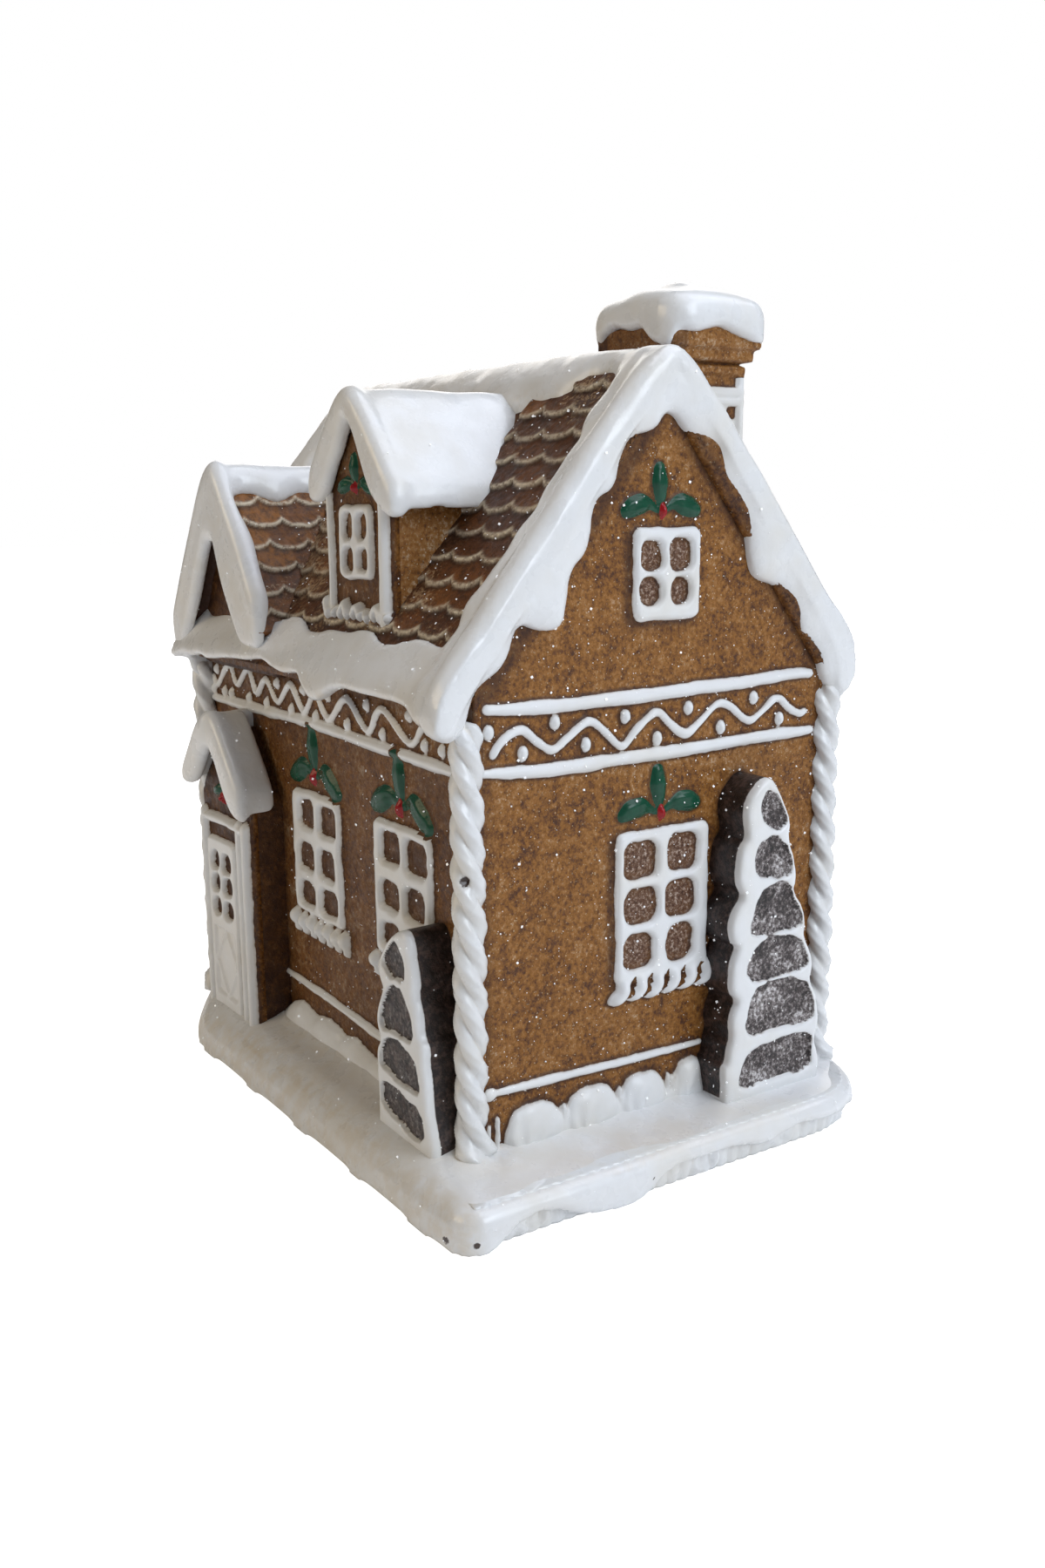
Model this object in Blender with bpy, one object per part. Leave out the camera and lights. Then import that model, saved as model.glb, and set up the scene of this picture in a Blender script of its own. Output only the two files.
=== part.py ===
"""Gingerbread house figurine: one solid cast resin piece, 130 mm tall.

The house stands on a snow slab. Main ridge along X, main gable at +X, door side at -Y. A cross wing with a porch under
it is at the far end of the door side, a dormer sits on the door-side slope, and a chimney rises from the back slope.
All sizes below are millimetres in the house's own axes (x along the ridge, y across, z up, centre of the walls at 0,0).
The part's frame has its origin under the middle of the whole piece, so house point (x, y) is at (x - OX, y - OY).
"""

import math

import bmesh
import bpy
from mathutils import Matrix, Vector

MM = 0.001

# ---------------------------------------------------------------- driving dimensions (mm)
OX, OY = 6.15, -2.40  # middle of the whole piece, seen from the middle of the walls

WALL_X, WALL_Y = 46.9, 32.9  # half length and half width of the walls
GROUND = 6.6  # top of the snow slab at the walls

PITCH = 1.27  # rise over run of the main roof
RIDGE = 119.3  # where the two tile planes would meet
EAVE = 38.8  # half width of the roof board
RAKE = 48.5  # half length of the roof board
BOARD = 2.4  # thickness of the roof board
SNOW_X = 49.45  # half length over the rake snow
SNOW_TOP = 118.3  # top of the ridge snow
SNOW_OUT = 123.6  # where the outer planes of the rake snow would meet

COURSE = 4.33  # tile exposure, along the slope
TILE = 7.6  # tile width
TILE_LIP = 0.75  # how far a tile stands off the one below

COLUMN_R = 2.5
COLUMN_RIB = 5.3  # height between the ribs of a twisted column

BAND_LOW, BAND_HIGH, BAND_FOOT = 61.7, 70.9, 14.8  # heights of the piped lines
LINE = 1.9  # width of a piped line
PROUD = 1.1  # how far piping stands off the wall

WIN_W, WIN_Z0, WIN_Z1 = 17.4, 26.4, 50.5  # a wall window's frame
ATTIC_W, ATTIC_Z0, ATTIC_Z1 = 12.2, 80.8, 94.3
FRONT_WINDOWS = (-2.0, 26.4)
BACK_WINDOWS = (-21.0, 21.0)

WING_X, WING_HALF, WING_TOP, WING_PITCH = -28.8, 19.6, 104.6, 1.45
WING_FRONT = 34.2  # y of the wing's gable wall
PORCH_X, PORCH_HALF, PORCH_FRONT = -28.4, 10.9, 39.0
PORCH_TOP, PORCH_PITCH, PORCH_ROOF_HALF = 62.4, 1.22, 13.8

DORMER_X, DORMER_HALF, DORMER_FRONT = 11.8, 10.4, 31.0
DORMER_SILL, DORMER_TOP, DORMER_PITCH, DORMER_ROOF_HALF = 79.6, 114.0, 1.27, 14.0

CHIM_X, CHIM_Y = 22.4, 22.3
CHIM_SHAFT = (6.6, 5.3)
CHIM_COLLAR = (9.8, 8.6)
CHIM_CAP = (11.6, 10.2)
CHIM_TOP = 128.7
TOP = 130.0

BASE_X0, BASE_X1, BASE_Y0, BASE_Y1 = -48.6, 61.75, -45.0, 36.6
BASE_CORNERS = (20.0, 6.5, 16.8, 12.0)  # corner radii: far front, near front, near back, far back

COS = 1 / math.hypot(1, PITCH)
SIN = PITCH * COS

TRIANGLES = 9900  # most triangles in the finished piece

BROWN = (0.33, 0.155, 0.055)


# ---------------------------------------------------------------- scene
for ob in list(bpy.data.objects):
    bpy.data.objects.remove(ob, do_unlink=True)

parts = bpy.data.collections.new("gingerbread_house")
cutters = bpy.data.collections.new("gingerbread_house_cutters")
bpy.context.scene.collection.children.link(parts)
bpy.context.scene.collection.children.link(cutters)


# ---------------------------------------------------------------- frames of the faces
def frame(origin, u, v, w):
    m = Matrix.Identity(4)
    for i, a in enumerate((u, v, w, origin)):
        for j in range(3):
            m[j][i] = a[j]
    return m


def wall(side, off=0.0):
    """Local u runs to the right seen from outside, v up, w out of the wall."""
    return {
        "gable": frame((WALL_X + off, 0, 0), (0, 1, 0), (0, 0, 1), (1, 0, 0)),
        "far": frame((-WALL_X - off, 0, 0), (0, -1, 0), (0, 0, 1), (-1, 0, 0)),
        "front": frame((0, -WALL_Y - off, 0), (1, 0, 0), (0, 0, 1), (0, -1, 0)),
        "back": frame((0, WALL_Y + off, 0), (-1, 0, 0), (0, 0, 1), (0, 1, 0)),
    }[side]


def slope(side):
    """Frame of a tile plane: u along the ridge, v up the slope (0 at the ridge), w out of the roof."""
    if side == "front":
        return frame((0, 0, RIDGE), (1, 0, 0), (0, COS, SIN), (0, -SIN, COS))
    return frame((0, 0, RIDGE), (-1, 0, 0), (0, -COS, SIN), (0, SIN, COS))


# ---------------------------------------------------------------- shapes
def solid(bm):
    """A mesh object from a bmesh, still in house millimetres."""
    bmesh.ops.remove_doubles(bm, verts=bm.verts, dist=1e-4)
    bmesh.ops.triangulate(bm, faces=bm.faces)
    bmesh.ops.recalc_face_normals(bm, faces=bm.faces)
    me = bpy.data.meshes.new("tool")
    bm.to_mesh(me)
    bm.free()
    ob = bpy.data.objects.new("tool", me)
    cutters.objects.link(ob)
    ob.hide_render = True
    ob.display_type = "WIRE"
    return ob


def box(x0, x1, y0, y1, z0, z1, m=None):
    bm = bmesh.new()
    bmesh.ops.create_cube(bm, size=1.0)
    t = Matrix.Translation(((x0 + x1) / 2, (y0 + y1) / 2, (z0 + z1) / 2)) @ Matrix.Diagonal((x1 - x0, y1 - y0, z1 - z0, 1))
    bmesh.ops.transform(bm, matrix=(m @ t) if m else t, verts=bm.verts)
    return bm


def plate(loops, w0, w1, m):
    """A flat outline, with holes, filled and extruded from w0 to w1 in the local frame m."""
    cu = bpy.data.curves.new("outline", "CURVE")
    cu.dimensions = "2D"
    cu.fill_mode = "BOTH"
    cu.extrude = (w1 - w0) / 2
    for loop in loops:
        sp = cu.splines.new("POLY")
        sp.points.add(len(loop) - 1)
        for p, (u, v) in zip(sp.points, loop):
            p.co = (u, v, 0, 1)
        sp.use_cyclic_u = True
    ob = bpy.data.objects.new("outline", cu)
    cutters.objects.link(ob)
    me = bpy.data.meshes.new_from_object(ob.evaluated_get(bpy.context.evaluated_depsgraph_get()))
    bm = bmesh.new()
    bm.from_mesh(me)
    bmesh.ops.remove_doubles(bm, verts=bm.verts, dist=1e-4)
    bmesh.ops.transform(bm, matrix=m @ Matrix.Translation((0, 0, (w0 + w1) / 2)), verts=bm.verts)
    bpy.data.objects.remove(ob, do_unlink=True)
    bpy.data.curves.remove(cu)
    bpy.data.meshes.remove(me)
    return bm


def loft(rings, closed=False):
    """Skin between rings of equal count, ends capped, or joined into a loop."""
    bm = bmesh.new()
    vs = [[bm.verts.new(p) for p in ring] for ring in rings]
    n = len(rings[0])
    pairs = list(zip(vs, vs[1:])) + ([(vs[-1], vs[0])] if closed else [])
    for a, b in pairs:
        for i in range(n):
            j = (i + 1) % n
            bm.faces.new((a[i], a[j], b[j], b[i]))
    if not closed:
        bm.faces.new(vs[0])
        bm.faces.new(list(reversed(vs[-1])))
    return bm


def cone(u, v, r0, r1, w0, w1, seg, m, turn=0.0):
    bm = bmesh.new()
    bmesh.ops.create_cone(bm, cap_ends=True, cap_tris=False, segments=seg, radius1=r0, radius2=r1, depth=w1 - w0)
    t = Matrix.Translation((u, v, (w0 + w1) / 2)) @ Matrix.Rotation(turn, 4, "Z")
    bmesh.ops.transform(bm, matrix=m @ t, verts=bm.verts)
    return bm


def ball(c, r, seg, rings, m=None):
    bm = bmesh.new()
    bmesh.ops.create_uvsphere(bm, u_segments=seg, v_segments=rings, radius=1.0)
    t = Matrix.Translation(c) @ Matrix.Diagonal((r[0], r[1], r[2], 1))
    bmesh.ops.transform(bm, matrix=(m @ t) if m else t, verts=bm.verts)
    return bm


def join(bms):
    out = bmesh.new()
    for bm in bms:
        me = bpy.data.meshes.new("t")
        bmesh.ops.recalc_face_normals(bm, faces=bm.faces)
        bm.to_mesh(me)
        bm.free()
        out.from_mesh(me)
        bpy.data.meshes.remove(me)
    return solid(out)


def outer_shell(me):
    """Drop every closed shell but the largest: pockets that a union seals inside, and loose crumbs."""
    bm = bmesh.new()
    bm.from_mesh(me)
    left = set(bm.faces)
    shells_ = []
    while left:
        f = left.pop()
        group, stack = [f], [f]
        while stack:
            for e in stack.pop().edges:
                for g in e.link_faces:
                    if g in left:
                        left.remove(g)
                        group.append(g)
                        stack.append(g)
        shells_.append(group)
    shells_.sort(key=len)
    for group in shells_[:-1]:
        bmesh.ops.delete(bm, geom=group, context="FACES")
    closed = all(e.is_manifold for e in bm.edges)
    volume = bm.calc_volume(signed=True)
    bm.to_mesh(me)
    bm.free()
    return closed, volume


def combine(body, bms, operation="UNION"):
    """Boolean of the body with a group of shapes that don't touch each other."""
    tool = join(bms if isinstance(bms, list) else [bms])
    before = outer_shell(body.data)[1]
    old = body.data
    for solver in ("EXACT", "MANIFOLD"):
        mod = body.modifiers.new("bool", "BOOLEAN")
        mod.operation = operation
        mod.solver = solver
        mod.object = tool
        me = bpy.data.meshes.new_from_object(body.evaluated_get(bpy.context.evaluated_depsgraph_get()))
        body.modifiers.clear()
        closed, after = outer_shell(me)
        if closed and (after > before - 1.0 if operation == "UNION" else after > before - 2500.0):
            break
    body.data = me
    bpy.data.meshes.remove(old)
    bpy.data.objects.remove(tool, do_unlink=True)


def wave(t, seed=0.0):
    """A slow uneven wave between about -1 and 1, for hand-shaped snow edges."""
    return 0.6 * math.sin(t + seed) + 0.4 * math.sin(1.73 * t + 2.1 * seed + 0.8)


def blend_list(stations, t):
    """Linear value between (position, value) stations."""
    if t <= stations[0][0]:
        return stations[0][1]
    for (a, va), (b, vb) in zip(stations, stations[1:]):
        if t <= b:
            return va + (vb - va) * (t - a) / (b - a)
    return stations[-1][1]


def spread(a, b, n):
    return [a + (b - a) * i / (n - 1) for i in range(n)]


# ---------------------------------------------------------------- walls and roof board
def tile_z(y):
    return RIDGE - PITCH * abs(y)


def core_walls():
    under = BOARD * 0.5 / COS
    section = [(-WALL_Y, 3.0), (WALL_Y, 3.0), (WALL_Y, tile_z(WALL_Y) - under), (3.0, tile_z(3.0) - under),
               (-3.0, tile_z(3.0) - under), (-WALL_Y, tile_z(WALL_Y) - under)]
    return loft([[(x, y, z) for y, z in section] for x in (-WALL_X, WALL_X)])


def roof_board():
    d, b = 0.45 / COS, BOARD / COS
    top = 2.6
    section = [(EAVE, tile_z(EAVE) - d), (top, tile_z(top) - d), (-top, tile_z(top) - d), (-EAVE, tile_z(EAVE) - d),
               (-EAVE + 0.4, tile_z(EAVE) - d - 1.9), (-EAVE + 3.2, tile_z(EAVE - 3.2) - b - d), (-6.0, tile_z(6.0) - b - d - 2.0),
               (6.0, tile_z(6.0) - b - d - 2.0), (EAVE - 3.2, tile_z(EAVE - 3.2) - b - d), (EAVE - 0.4, tile_z(EAVE) - d - 1.9)]
    return loft([[(x, y, z) for y, z in section] for x in (-RAKE, RAKE)])


def scallops(u0, u1, shift):
    """Stations (u, rise) along a row of tiles: a notch between tiles, a flat round nose on each."""
    edge = [(u0, 0.75)]
    u = math.ceil((u0 - TILE - shift) / TILE) * TILE + shift
    while u < u1:
        for du, dv in ((0.0, 1.5), (0.26 * TILE, 0.0), (0.74 * TILE, 0.0)):
            if u0 + 0.6 < u + du < u1 - 0.6:
                edge.append((u + du, dv))
        u += TILE
    edge.append((u1, 0.75))
    return edge


def tile_sheet(m, first, rows, u0, u1, shift=0.0):
    """Overlapping courses of scalloped tiles on one slope: each course rises towards its lower lip and steps down."""
    bm = bmesh.new()

    def plane(j, v):
        return TILE_LIP * (-(first + (j - 1) * COURSE) - v) / COURSE

    top = -first + COURSE
    head = [bm.verts.new((u, top, plane(0, top))) for u, dv in scallops(u0, u1, shift) if dv > 0.0]
    above, ends = head, ([head[0]], [head[-1]])
    for j in range(rows):
        edge = scallops(u0, u1, shift + TILE / 2 * (j % 2))
        v0 = -(first + j * COURSE)
        lip = [bm.verts.new((u, v0 + dv, plane(j, v0 + dv))) for u, dv in edge]
        if j < rows - 1:
            foot = [bm.verts.new((u, v0 + dv, plane(j + 1, v0 + dv))) for u, dv in edge]
        else:
            foot = [bm.verts.new((u, v0 + dv, -1.7)) for u, dv in edge]
        i = k = 0
        while i < len(above) - 1 or k < len(lip) - 1:  # the sloping top of the course
            if k == len(lip) - 1 or (i < len(above) - 1 and above[i + 1].co.x <= lip[k + 1].co.x):
                bm.faces.new((above[i], above[i + 1], lip[k]))
                i += 1
            else:
                bm.faces.new((above[i], lip[k + 1], lip[k]))
                k += 1
        for i in range(len(lip) - 1):
            bm.faces.new((lip[i], lip[i + 1], foot[i + 1], foot[i]))
        for side, q in ((0, 0), (1, -1)):
            ends[side].extend((lip[q], foot[q]))
        above = foot
    under = [bm.verts.new((u, top, -1.7)) for u in (u0, u1)]
    bm.faces.new(above + [under[1], under[0]])
    bm.faces.new(ends[0] + [under[0]])
    bm.faces.new(ends[1] + [under[1]])
    bm.faces.new(head + [under[1], under[0]])
    bmesh.ops.transform(bm, matrix=m, verts=bm.verts)
    return bm


# ---------------------------------------------------------------- snow
# drop of the rake snow's inner edge below its outer edge, along y; the drips are the deep stations
DRIPS = ((-40.2, 6.5), (-37.2, 7.5), (-32.4, 8.4), (-28.5, 11.8), (-26.0, 9.2), (-22.6, 14.0), (-19.4, 18.0), (-17.6, 13.0),
         (-14.6, 14.0), (-13.4, 8.6), (-10.2, 11.4), (-6.4, 7.9), (-2.0, 10.0), (2.0, 12.0), (6.0, 8.2),
         (9.4, 9.6), (14.2, 10.6), (16.6, 15.6), (20.8, 10.9), (25.0, 9.9), (28.0, 12.0), (31.2, 13.8), (35.5, 10.5), (40.2, 6.5))


def rake_outer(y):
    """Outer line of the rake snow: a rounded peak on straight legs that curl under at the eaves."""
    a = abs(y)
    leg = SNOW_OUT - PITCH * a
    r = 8.6
    z = leg
    if a < r * SIN:
        z = SNOW_OUT - r / COS + math.sqrt(r * r - a * a) if a < r else leg
    if a > 35.0:
        z -= 0.055 * (a - 35.0) ** 2
    return z


def rake_snow(sx):
    rings = []
    for y, drop in DRIPS:
        zo = rake_outer(y)
        a = abs(y)
        zt = tile_z(y) - 1.8
        if a < 6.0:
            zt = tile_z(6.0) - 1.8 + (6.0 - a) * 0.25
        zi = zo - drop
        if a > 38.0:
            zt, zi = min(zt, zo - 2.2), zo - (4.6 if a > 40 else 6.6)
            zt = max(zt, zi + 1.2)
        mid = zo - 1.5
        ring = [(41.6, y, min(zt, mid - 0.4)), (42.6, y, mid), (45.4, y, zo), (48.4, y, zo - 0.5), (SNOW_X, y, zo - 2.4),
                (SNOW_X, y, zi + 1.2), (48.0, y, zi), (45.6, y, max(zt - 2.6, zi + 0.6))]
        rings.append([(sx * x, yy, z) for x, yy, z in ring])
    return loft(rings)


def ridge_snow():
    rings = []
    for i, x in enumerate(spread(-45.5, 45.5, 15)):
        a = 6.0 + 1.1 * wave(x * 0.22, 0.4)
        b = 6.0 + 1.1 * wave(x * 0.25, 2.4)
        top = SNOW_TOP - 0.15 + 0.15 * wave(x * 0.3, 1.0)
        rings.append([(x, -a, tile_z(a) - 1.0), (x, -a + 0.6, tile_z(a) + 1.1), (x, -2.2, top - 0.5), (x, 0.0, top), (x, 2.2, top - 0.5),
                      (x, b - 0.6, tile_z(b) + 1.1), (x, b, tile_z(b) - 1.0)])
    return loft(rings)


# lower edge of the door-side eave snow along x: its drips are the low stations
EAVE_DRIPS = ((-48.0, 71.4), (-42.5, 70.2), (-36.0, 71.2), (-29.0, 70.6), (-21.0, 71.4), (-14.0, 72.2),
              (-6.0, 71.4), (2.0, 72.0), (8.0, 69.6), (11.6, 67.6), (14.4, 65.9), (16.6, 68.6), (20.0, 72.0),
              (27.0, 71.6), (31.6, 70.0), (36.4, 71.4), (40.2, 69.4), (43.6, 67.4), (47.5, 67.6))


def eave_snow(sy):
    rings = []
    for i, (x, low) in enumerate(EAVE_DRIPS):
        if sy > 0:
            x = -x
            low = 70.4 + 2.2 * wave(x * 0.42, 1.7)
        up = 34.3 + 0.7 * wave(x * 0.3, 0.3 if sy < 0 else 2.0)
        ring = [(x, up, tile_z(up) - 1.0), (x, up + 0.5, tile_z(up) + 1.1), (x, 37.4, 75.2), (x, 39.8, max(72.6, low + 2.4)),
                (x, 40.2, low + 1.1), (x, 39.2, low), (x, 37.2, 70.6)]
        rings.append([(a, sy * b, c) for a, b, c in ring])
    return loft(rings)


# ---------------------------------------------------------------- base slab
def base_outline(n, inset):
    """Rounded outline of the slab, with n points at fixed stations, moved in by inset."""
    r = BASE_CORNERS
    x0, x1, y0, y1 = BASE_X0, BASE_X1, BASE_Y0, BASE_Y1
    arcs = (((x0 + r[0], y0 + r[0]), r[0], 180), ((x1 - r[1], y0 + r[1]), r[1], 270),
            ((x1 - r[2], y1 - r[2]), r[2], 0), ((x0 + r[3], y1 - r[3]), r[3], 90))
    path = []
    for (cx, cy), rr, a0 in arcs:
        for k in range(9):
            a = math.radians(a0 + 90 * k / 8)
            path.append((cx + rr * math.cos(a), cy + rr * math.sin(a), math.cos(a), math.sin(a)))
    path.append(path[0])
    length = [0.0]
    for p, q in zip(path, path[1:]):
        length.append(length[-1] + math.hypot(q[0] - p[0], q[1] - p[1]))
    total, out, k = length[-1], [], 0
    for i in range(n):
        s = total * i / n
        while length[k + 1] < s:
            k += 1
        f = (s - length[k]) / (length[k + 1] - length[k])
        p, q = path[k], path[k + 1]
        nx, ny = p[2] + (q[2] - p[2]) * f, p[3] + (q[3] - p[3]) * f
        h = math.hypot(nx, ny)
        out.append((p[0] + (q[0] - p[0]) * f - inset * nx / h, p[1] + (q[1] - p[1]) * f - inset * ny / h, s))
    return out


def base():
    n = 64
    rings = []
    for inset, z, lip in ((1.7, 0.0, 0), (1.5, 1.5, 1), (0.2, 2.0, 1), (0.0, 3.6, 0.6), (0.5, 5.3, 0.1), (3.4, 6.4, 0.0)):
        ring = []
        for x, y, s in base_outline(n, inset):
            w = wave(s * 0.205, 0.9)
            ring.append((x, y, z + lip * 1.55 * (1 + w) * 0.62))
        if z == 0.0:
            ring = [(x, y, 0.0) for x, y, _ in ring]
        rings.append(ring)
    bm = bmesh.new()
    vs = [[bm.verts.new(p) for p in ring] for ring in rings]
    for a, b in zip(vs, vs[1:]):
        for i in range(n):
            j = (i + 1) % n
            bm.faces.new((a[i], a[j], b[j], b[i]))
    bm.faces.new(list(reversed(vs[0])))
    top = bm.verts.new((0, 0, GROUND + 0.3))
    for i in range(n):
        bm.faces.new((vs[-1][i], vs[-1][(i + 1) % n], top))
    return bm


# ---------------------------------------------------------------- wing, dormer, porch, chimney
def chevron(cx, half, top, pitch, thick, drop=0.0, cut=1.6):
    """Section of a small roof in (x, z): a peak cut flat, two legs, and the underside."""
    foot = top - pitch * (half - cut)
    return [(cx - half - 0.1, foot - drop), (cx - half - 0.3, foot + 0.9), (cx - cut, top), (cx + cut, top), (cx + half + 0.3, foot + 0.9),
            (cx + half + 0.1, foot - drop), (cx + half - 2.2, foot + pitch * 2.2 - thick - 0.2),
            (cx, top - thick - 1.0), (cx - half + 2.2, foot + pitch * 2.2 - thick - 0.2)]


def gable_body(cx, half, y0, y1, z0, z_eave, z_top):
    section = [(cx - half, z0), (cx + half, z0), (cx + half, z_eave), (cx, z_top), (cx - half, z_eave)]
    return loft([[(x, y, z) for x, z in section] for y in (y0, y1)])


def wing():
    """Gable wall, roof board and snow of the cross wing; the ridge snow runs back into the main roof."""
    body = gable_body(WING_X, WING_HALF - 2.6, -WING_FRONT, -6.0, 68.5, 76.5, 76.5 + (WING_HALF - 2.6) * WING_PITCH)
    d = 1.9
    top = WING_TOP - 2.0
    foot = top - WING_PITCH * (WING_HALF - 1.0)
    section = [(WING_X - WING_HALF + 0.6, foot), (WING_X, top + 0.4), (WING_X + WING_HALF - 0.6, foot), (WING_X + WING_HALF - 2.2, foot - 1.2),
               (WING_X, top - 4.0), (WING_X - WING_HALF + 2.2, foot - 1.2)]
    board = loft([[(x, y, z) for x, z in section] for y in (-37.4, -5.0)])
    return body, board


def wing_rake():
    rings = []
    for t in spread(-1.0, 1.0, 15):
        x = WING_X + t * (WING_HALF + 0.6)
        a = abs(t) * (WING_HALF + 0.6)
        zo = WING_TOP - WING_PITCH * a if a > 3.0 else WING_TOP - WING_PITCH * 3.0 + 2.9 * math.sqrt(1 - (a / 3.6) ** 2) - 1.6
        zo = min(zo, WING_TOP - 0.25)
        if a > 17.5:
            zo -= 0.5 * (a - 17.5)
        drop = 7.6 + 2.2 * wave(t * 7.0, 0.5)
        if a > 19.0:
            drop = 5.0
        rings.append([(x, -34.6, zo - 3.0), (x, -35.2, zo - 0.6), (x, -37.4, zo), (x, -38.9, zo - 1.4),
                      (x, -38.9, zo - drop + 0.9), (x, -37.8, zo - drop), (x, -33.2, zo - 5.0)])
    return loft(rings)


def wing_ridge():
    rings = []
    for y in spread(-37.6, -7.0, 7):
        a = 4.6 + 1.0 * wave(y * 0.35, 0.2)
        top = WING_TOP - 0.25
        rings.append([(WING_X - a, y, WING_TOP - 2.4 - WING_PITCH * a), (WING_X - a + 0.3, y, WING_TOP - WING_PITCH * a + 0.6),
                      (WING_X - 1.4, y, top), (WING_X + 1.4, y, top), (WING_X + a - 0.3, y, WING_TOP - WING_PITCH * a + 0.6),
                      (WING_X + a, y, WING_TOP - 2.4 - WING_PITCH * a), (WING_X, y, WING_TOP - 8.0)])
    return loft(rings)


def wing_tiles(sx):
    c = 1 / math.hypot(1, WING_PITCH)
    s = WING_PITCH * c
    m = frame((WING_X, 0, WING_TOP - 2.2), (0, sx, 0), (-sx * c, 0, s), (sx * s, 0, c))
    return tile_sheet(m, 10.4, 5, *((-36.0, -9.3) if sx > 0 else (9.3, 36.0)), 1.2)


def dormer_body():
    return gable_body(DORMER_X, DORMER_HALF, -DORMER_FRONT, -6.0, 74.0, 98.0, DORMER_TOP - 2.6)


def dormer_snow():
    rings = []
    for i, y in enumerate(spread(-33.4, -4.0, 8)):
        w = 0.9 * wave(y * 0.5, 1.3)
        front = max(0.0, 1 - (y + 33.4) / 5.0)
        section = chevron(DORMER_X, DORMER_ROOF_HALF, DORMER_TOP, DORMER_PITCH, 4.6, drop=1.1 + w + 0.8 * front)
        rings.append([(x, y, z) for x, z in section])
    return loft(rings)


def porch_body():
    return gable_body(PORCH_X, PORCH_HALF, -PORCH_FRONT, -30.0, 4.5, 48.4, PORCH_TOP - 3.4)


def porch_snow():
    rings = []
    for i, y in enumerate(spread(-42.6, -31.5, 4)):
        bulge = 0.8 * math.sin(math.pi * i / 3)
        section = chevron(PORCH_X, PORCH_ROOF_HALF, PORCH_TOP + 0.2 * bulge, PORCH_PITCH, 4.0, drop=1.2 + bulge, cut=1.9)
        rings.append([(x, y, z) for x, z in section])
    return loft(rings)


def chimney():
    """Square shaft and a collar that flares in two steps, on one set of rings."""
    rings = []
    ground = 90.0
    sx, sy = CHIM_SHAFT
    cx, cy = CHIM_COLLAR
    for z, k in ((ground, 0.0), (117.2, 0.0), (117.9, 0.42), (119.3, 0.55), (119.9, 0.85), (121.6, 1.0), (124.6, 1.0)):
        hx, hy = sx + (cx - sx) * k, sy + (cy - sy) * k
        rings.append([(CHIM_X + a * hx, CHIM_Y + b * hy, z) for a, b in ((-1, -1), (1, -1), (1, 1), (-1, 1))])
    return loft(rings)


def chimney_snow():
    """Cap with rounded corners whose lower edge hangs in drips, the longest at the corners."""
    n = 24
    rings = []
    hx, hy = CHIM_CAP
    for k, z, drip in ((0.80, 122.0, 0.0), (0.99, 122.2, 1.0), (1.0, 125.4, 0.0), (0.93, 128.0, 0.0), (0.6, CHIM_TOP, 0.0)):
        ring = []
        for i in range(n):
            a = 2 * math.pi * i / n
            c, s = math.cos(a), math.sin(a)
            e = (abs(c) ** 4 + abs(s) ** 4) ** -0.25
            low = 1.0 - 1.0 * math.sin(2 * a) ** 2 + 0.7 * wave(3.0 * a, 0.7)
            ring.append((CHIM_X + hx * k * e * c, CHIM_Y + hy * k * e * s, z + drip * low * 1.15 + (0.25 if drip == 0.0 and z == 122.0 else 0.0) * low))
        rings.append(ring)
    return loft(rings)


def nub():
    return cone(CHIM_X, CHIM_Y, 3.0, 0.9, CHIM_TOP - 1.0, TOP, 6, Matrix.Identity(4))


# ---------------------------------------------------------------- trim
def column(cx, cy):
    """A twisted candy column: a four-ribbed bar, turned as it rises, one rib every quarter of a turn."""
    rings = []
    z0, z1 = GROUND - 1.2, 68.0
    n = int((z1 - z0) / (COLUMN_RIB / 2)) + 1
    for z in spread(z0, z1, n):
        turn = 2 * math.pi * z / (4 * COLUMN_RIB)
        rings.append([(cx + COLUMN_R * math.cos(turn + math.pi / 2 * k), cy + COLUMN_R * math.sin(turn + math.pi / 2 * k), z)
                      for k in range(4)])
    return loft(rings)


def rounded(u0, u1, v0, v1, c):
    return [(u0 + c, v0), (u1 - c, v0), (u1, v0 + c), (u1, v1 - c), (u1 - c, v1), (u0 + c, v1), (u0, v1 - c), (u0, v0 + c)]


def window(m, u, width, z0, z1, rows, proud=PROUD, frame_w=1.9, bar=1.6):
    """A frame with two columns of panes."""
    u0, u1 = u - width / 2, u + width / 2
    loops = [[(u0, z0), (u1, z0), (u1, z1), (u0, z1)]]
    ph = (z1 - z0 - 2 * frame_w - (rows - 1) * bar) / rows
    pw = (width - 2 * frame_w - bar) / 2
    for r in range(rows):
        for k in range(2):
            a = u0 + frame_w + k * (pw + bar)
            b = z0 + frame_w + r * (ph + bar)
            loops.append([(a, b), (a, b + ph), (a + pw, b + ph), (a + pw, b)])
    return plate(loops, -1.0, proud, m)


def sill(m, u, width, z):
    return box(u - width / 2 - 0.9, u + width / 2 + 0.9, z - 1.6, z + 1.3, -1.0, 1.9, m)


def holly(m, u, z, size=1.0):
    """Three leaves round a berry, above a window."""
    out = []
    for du, dv, a, ln in ((0.0, 3.7, 90, 5.0), (-4.2, 0.5, 168, 5.2), (4.2, 0.7, 14, 5.2)):
        ln, wd = ln * size / 2, 1.25 * size
        r = math.radians(a)
        pts = []
        for k, w in ((-1, 0), (-0.15, 1.1), (1, 0), (-0.15, -1.1)):
            pts.append((u + du * size + k * ln * math.cos(r) - w * wd * math.sin(r), z + dv * size + k * ln * math.sin(r) + w * wd * math.cos(r)))
        out.append(plate([pts], -0.9, 0.9, m))
    out.append(cone(u, z + 0.2 * size, 0.95 * size, 0.5 * size, -0.8, 1.25, 4, m, 0.3))
    return out


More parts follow.
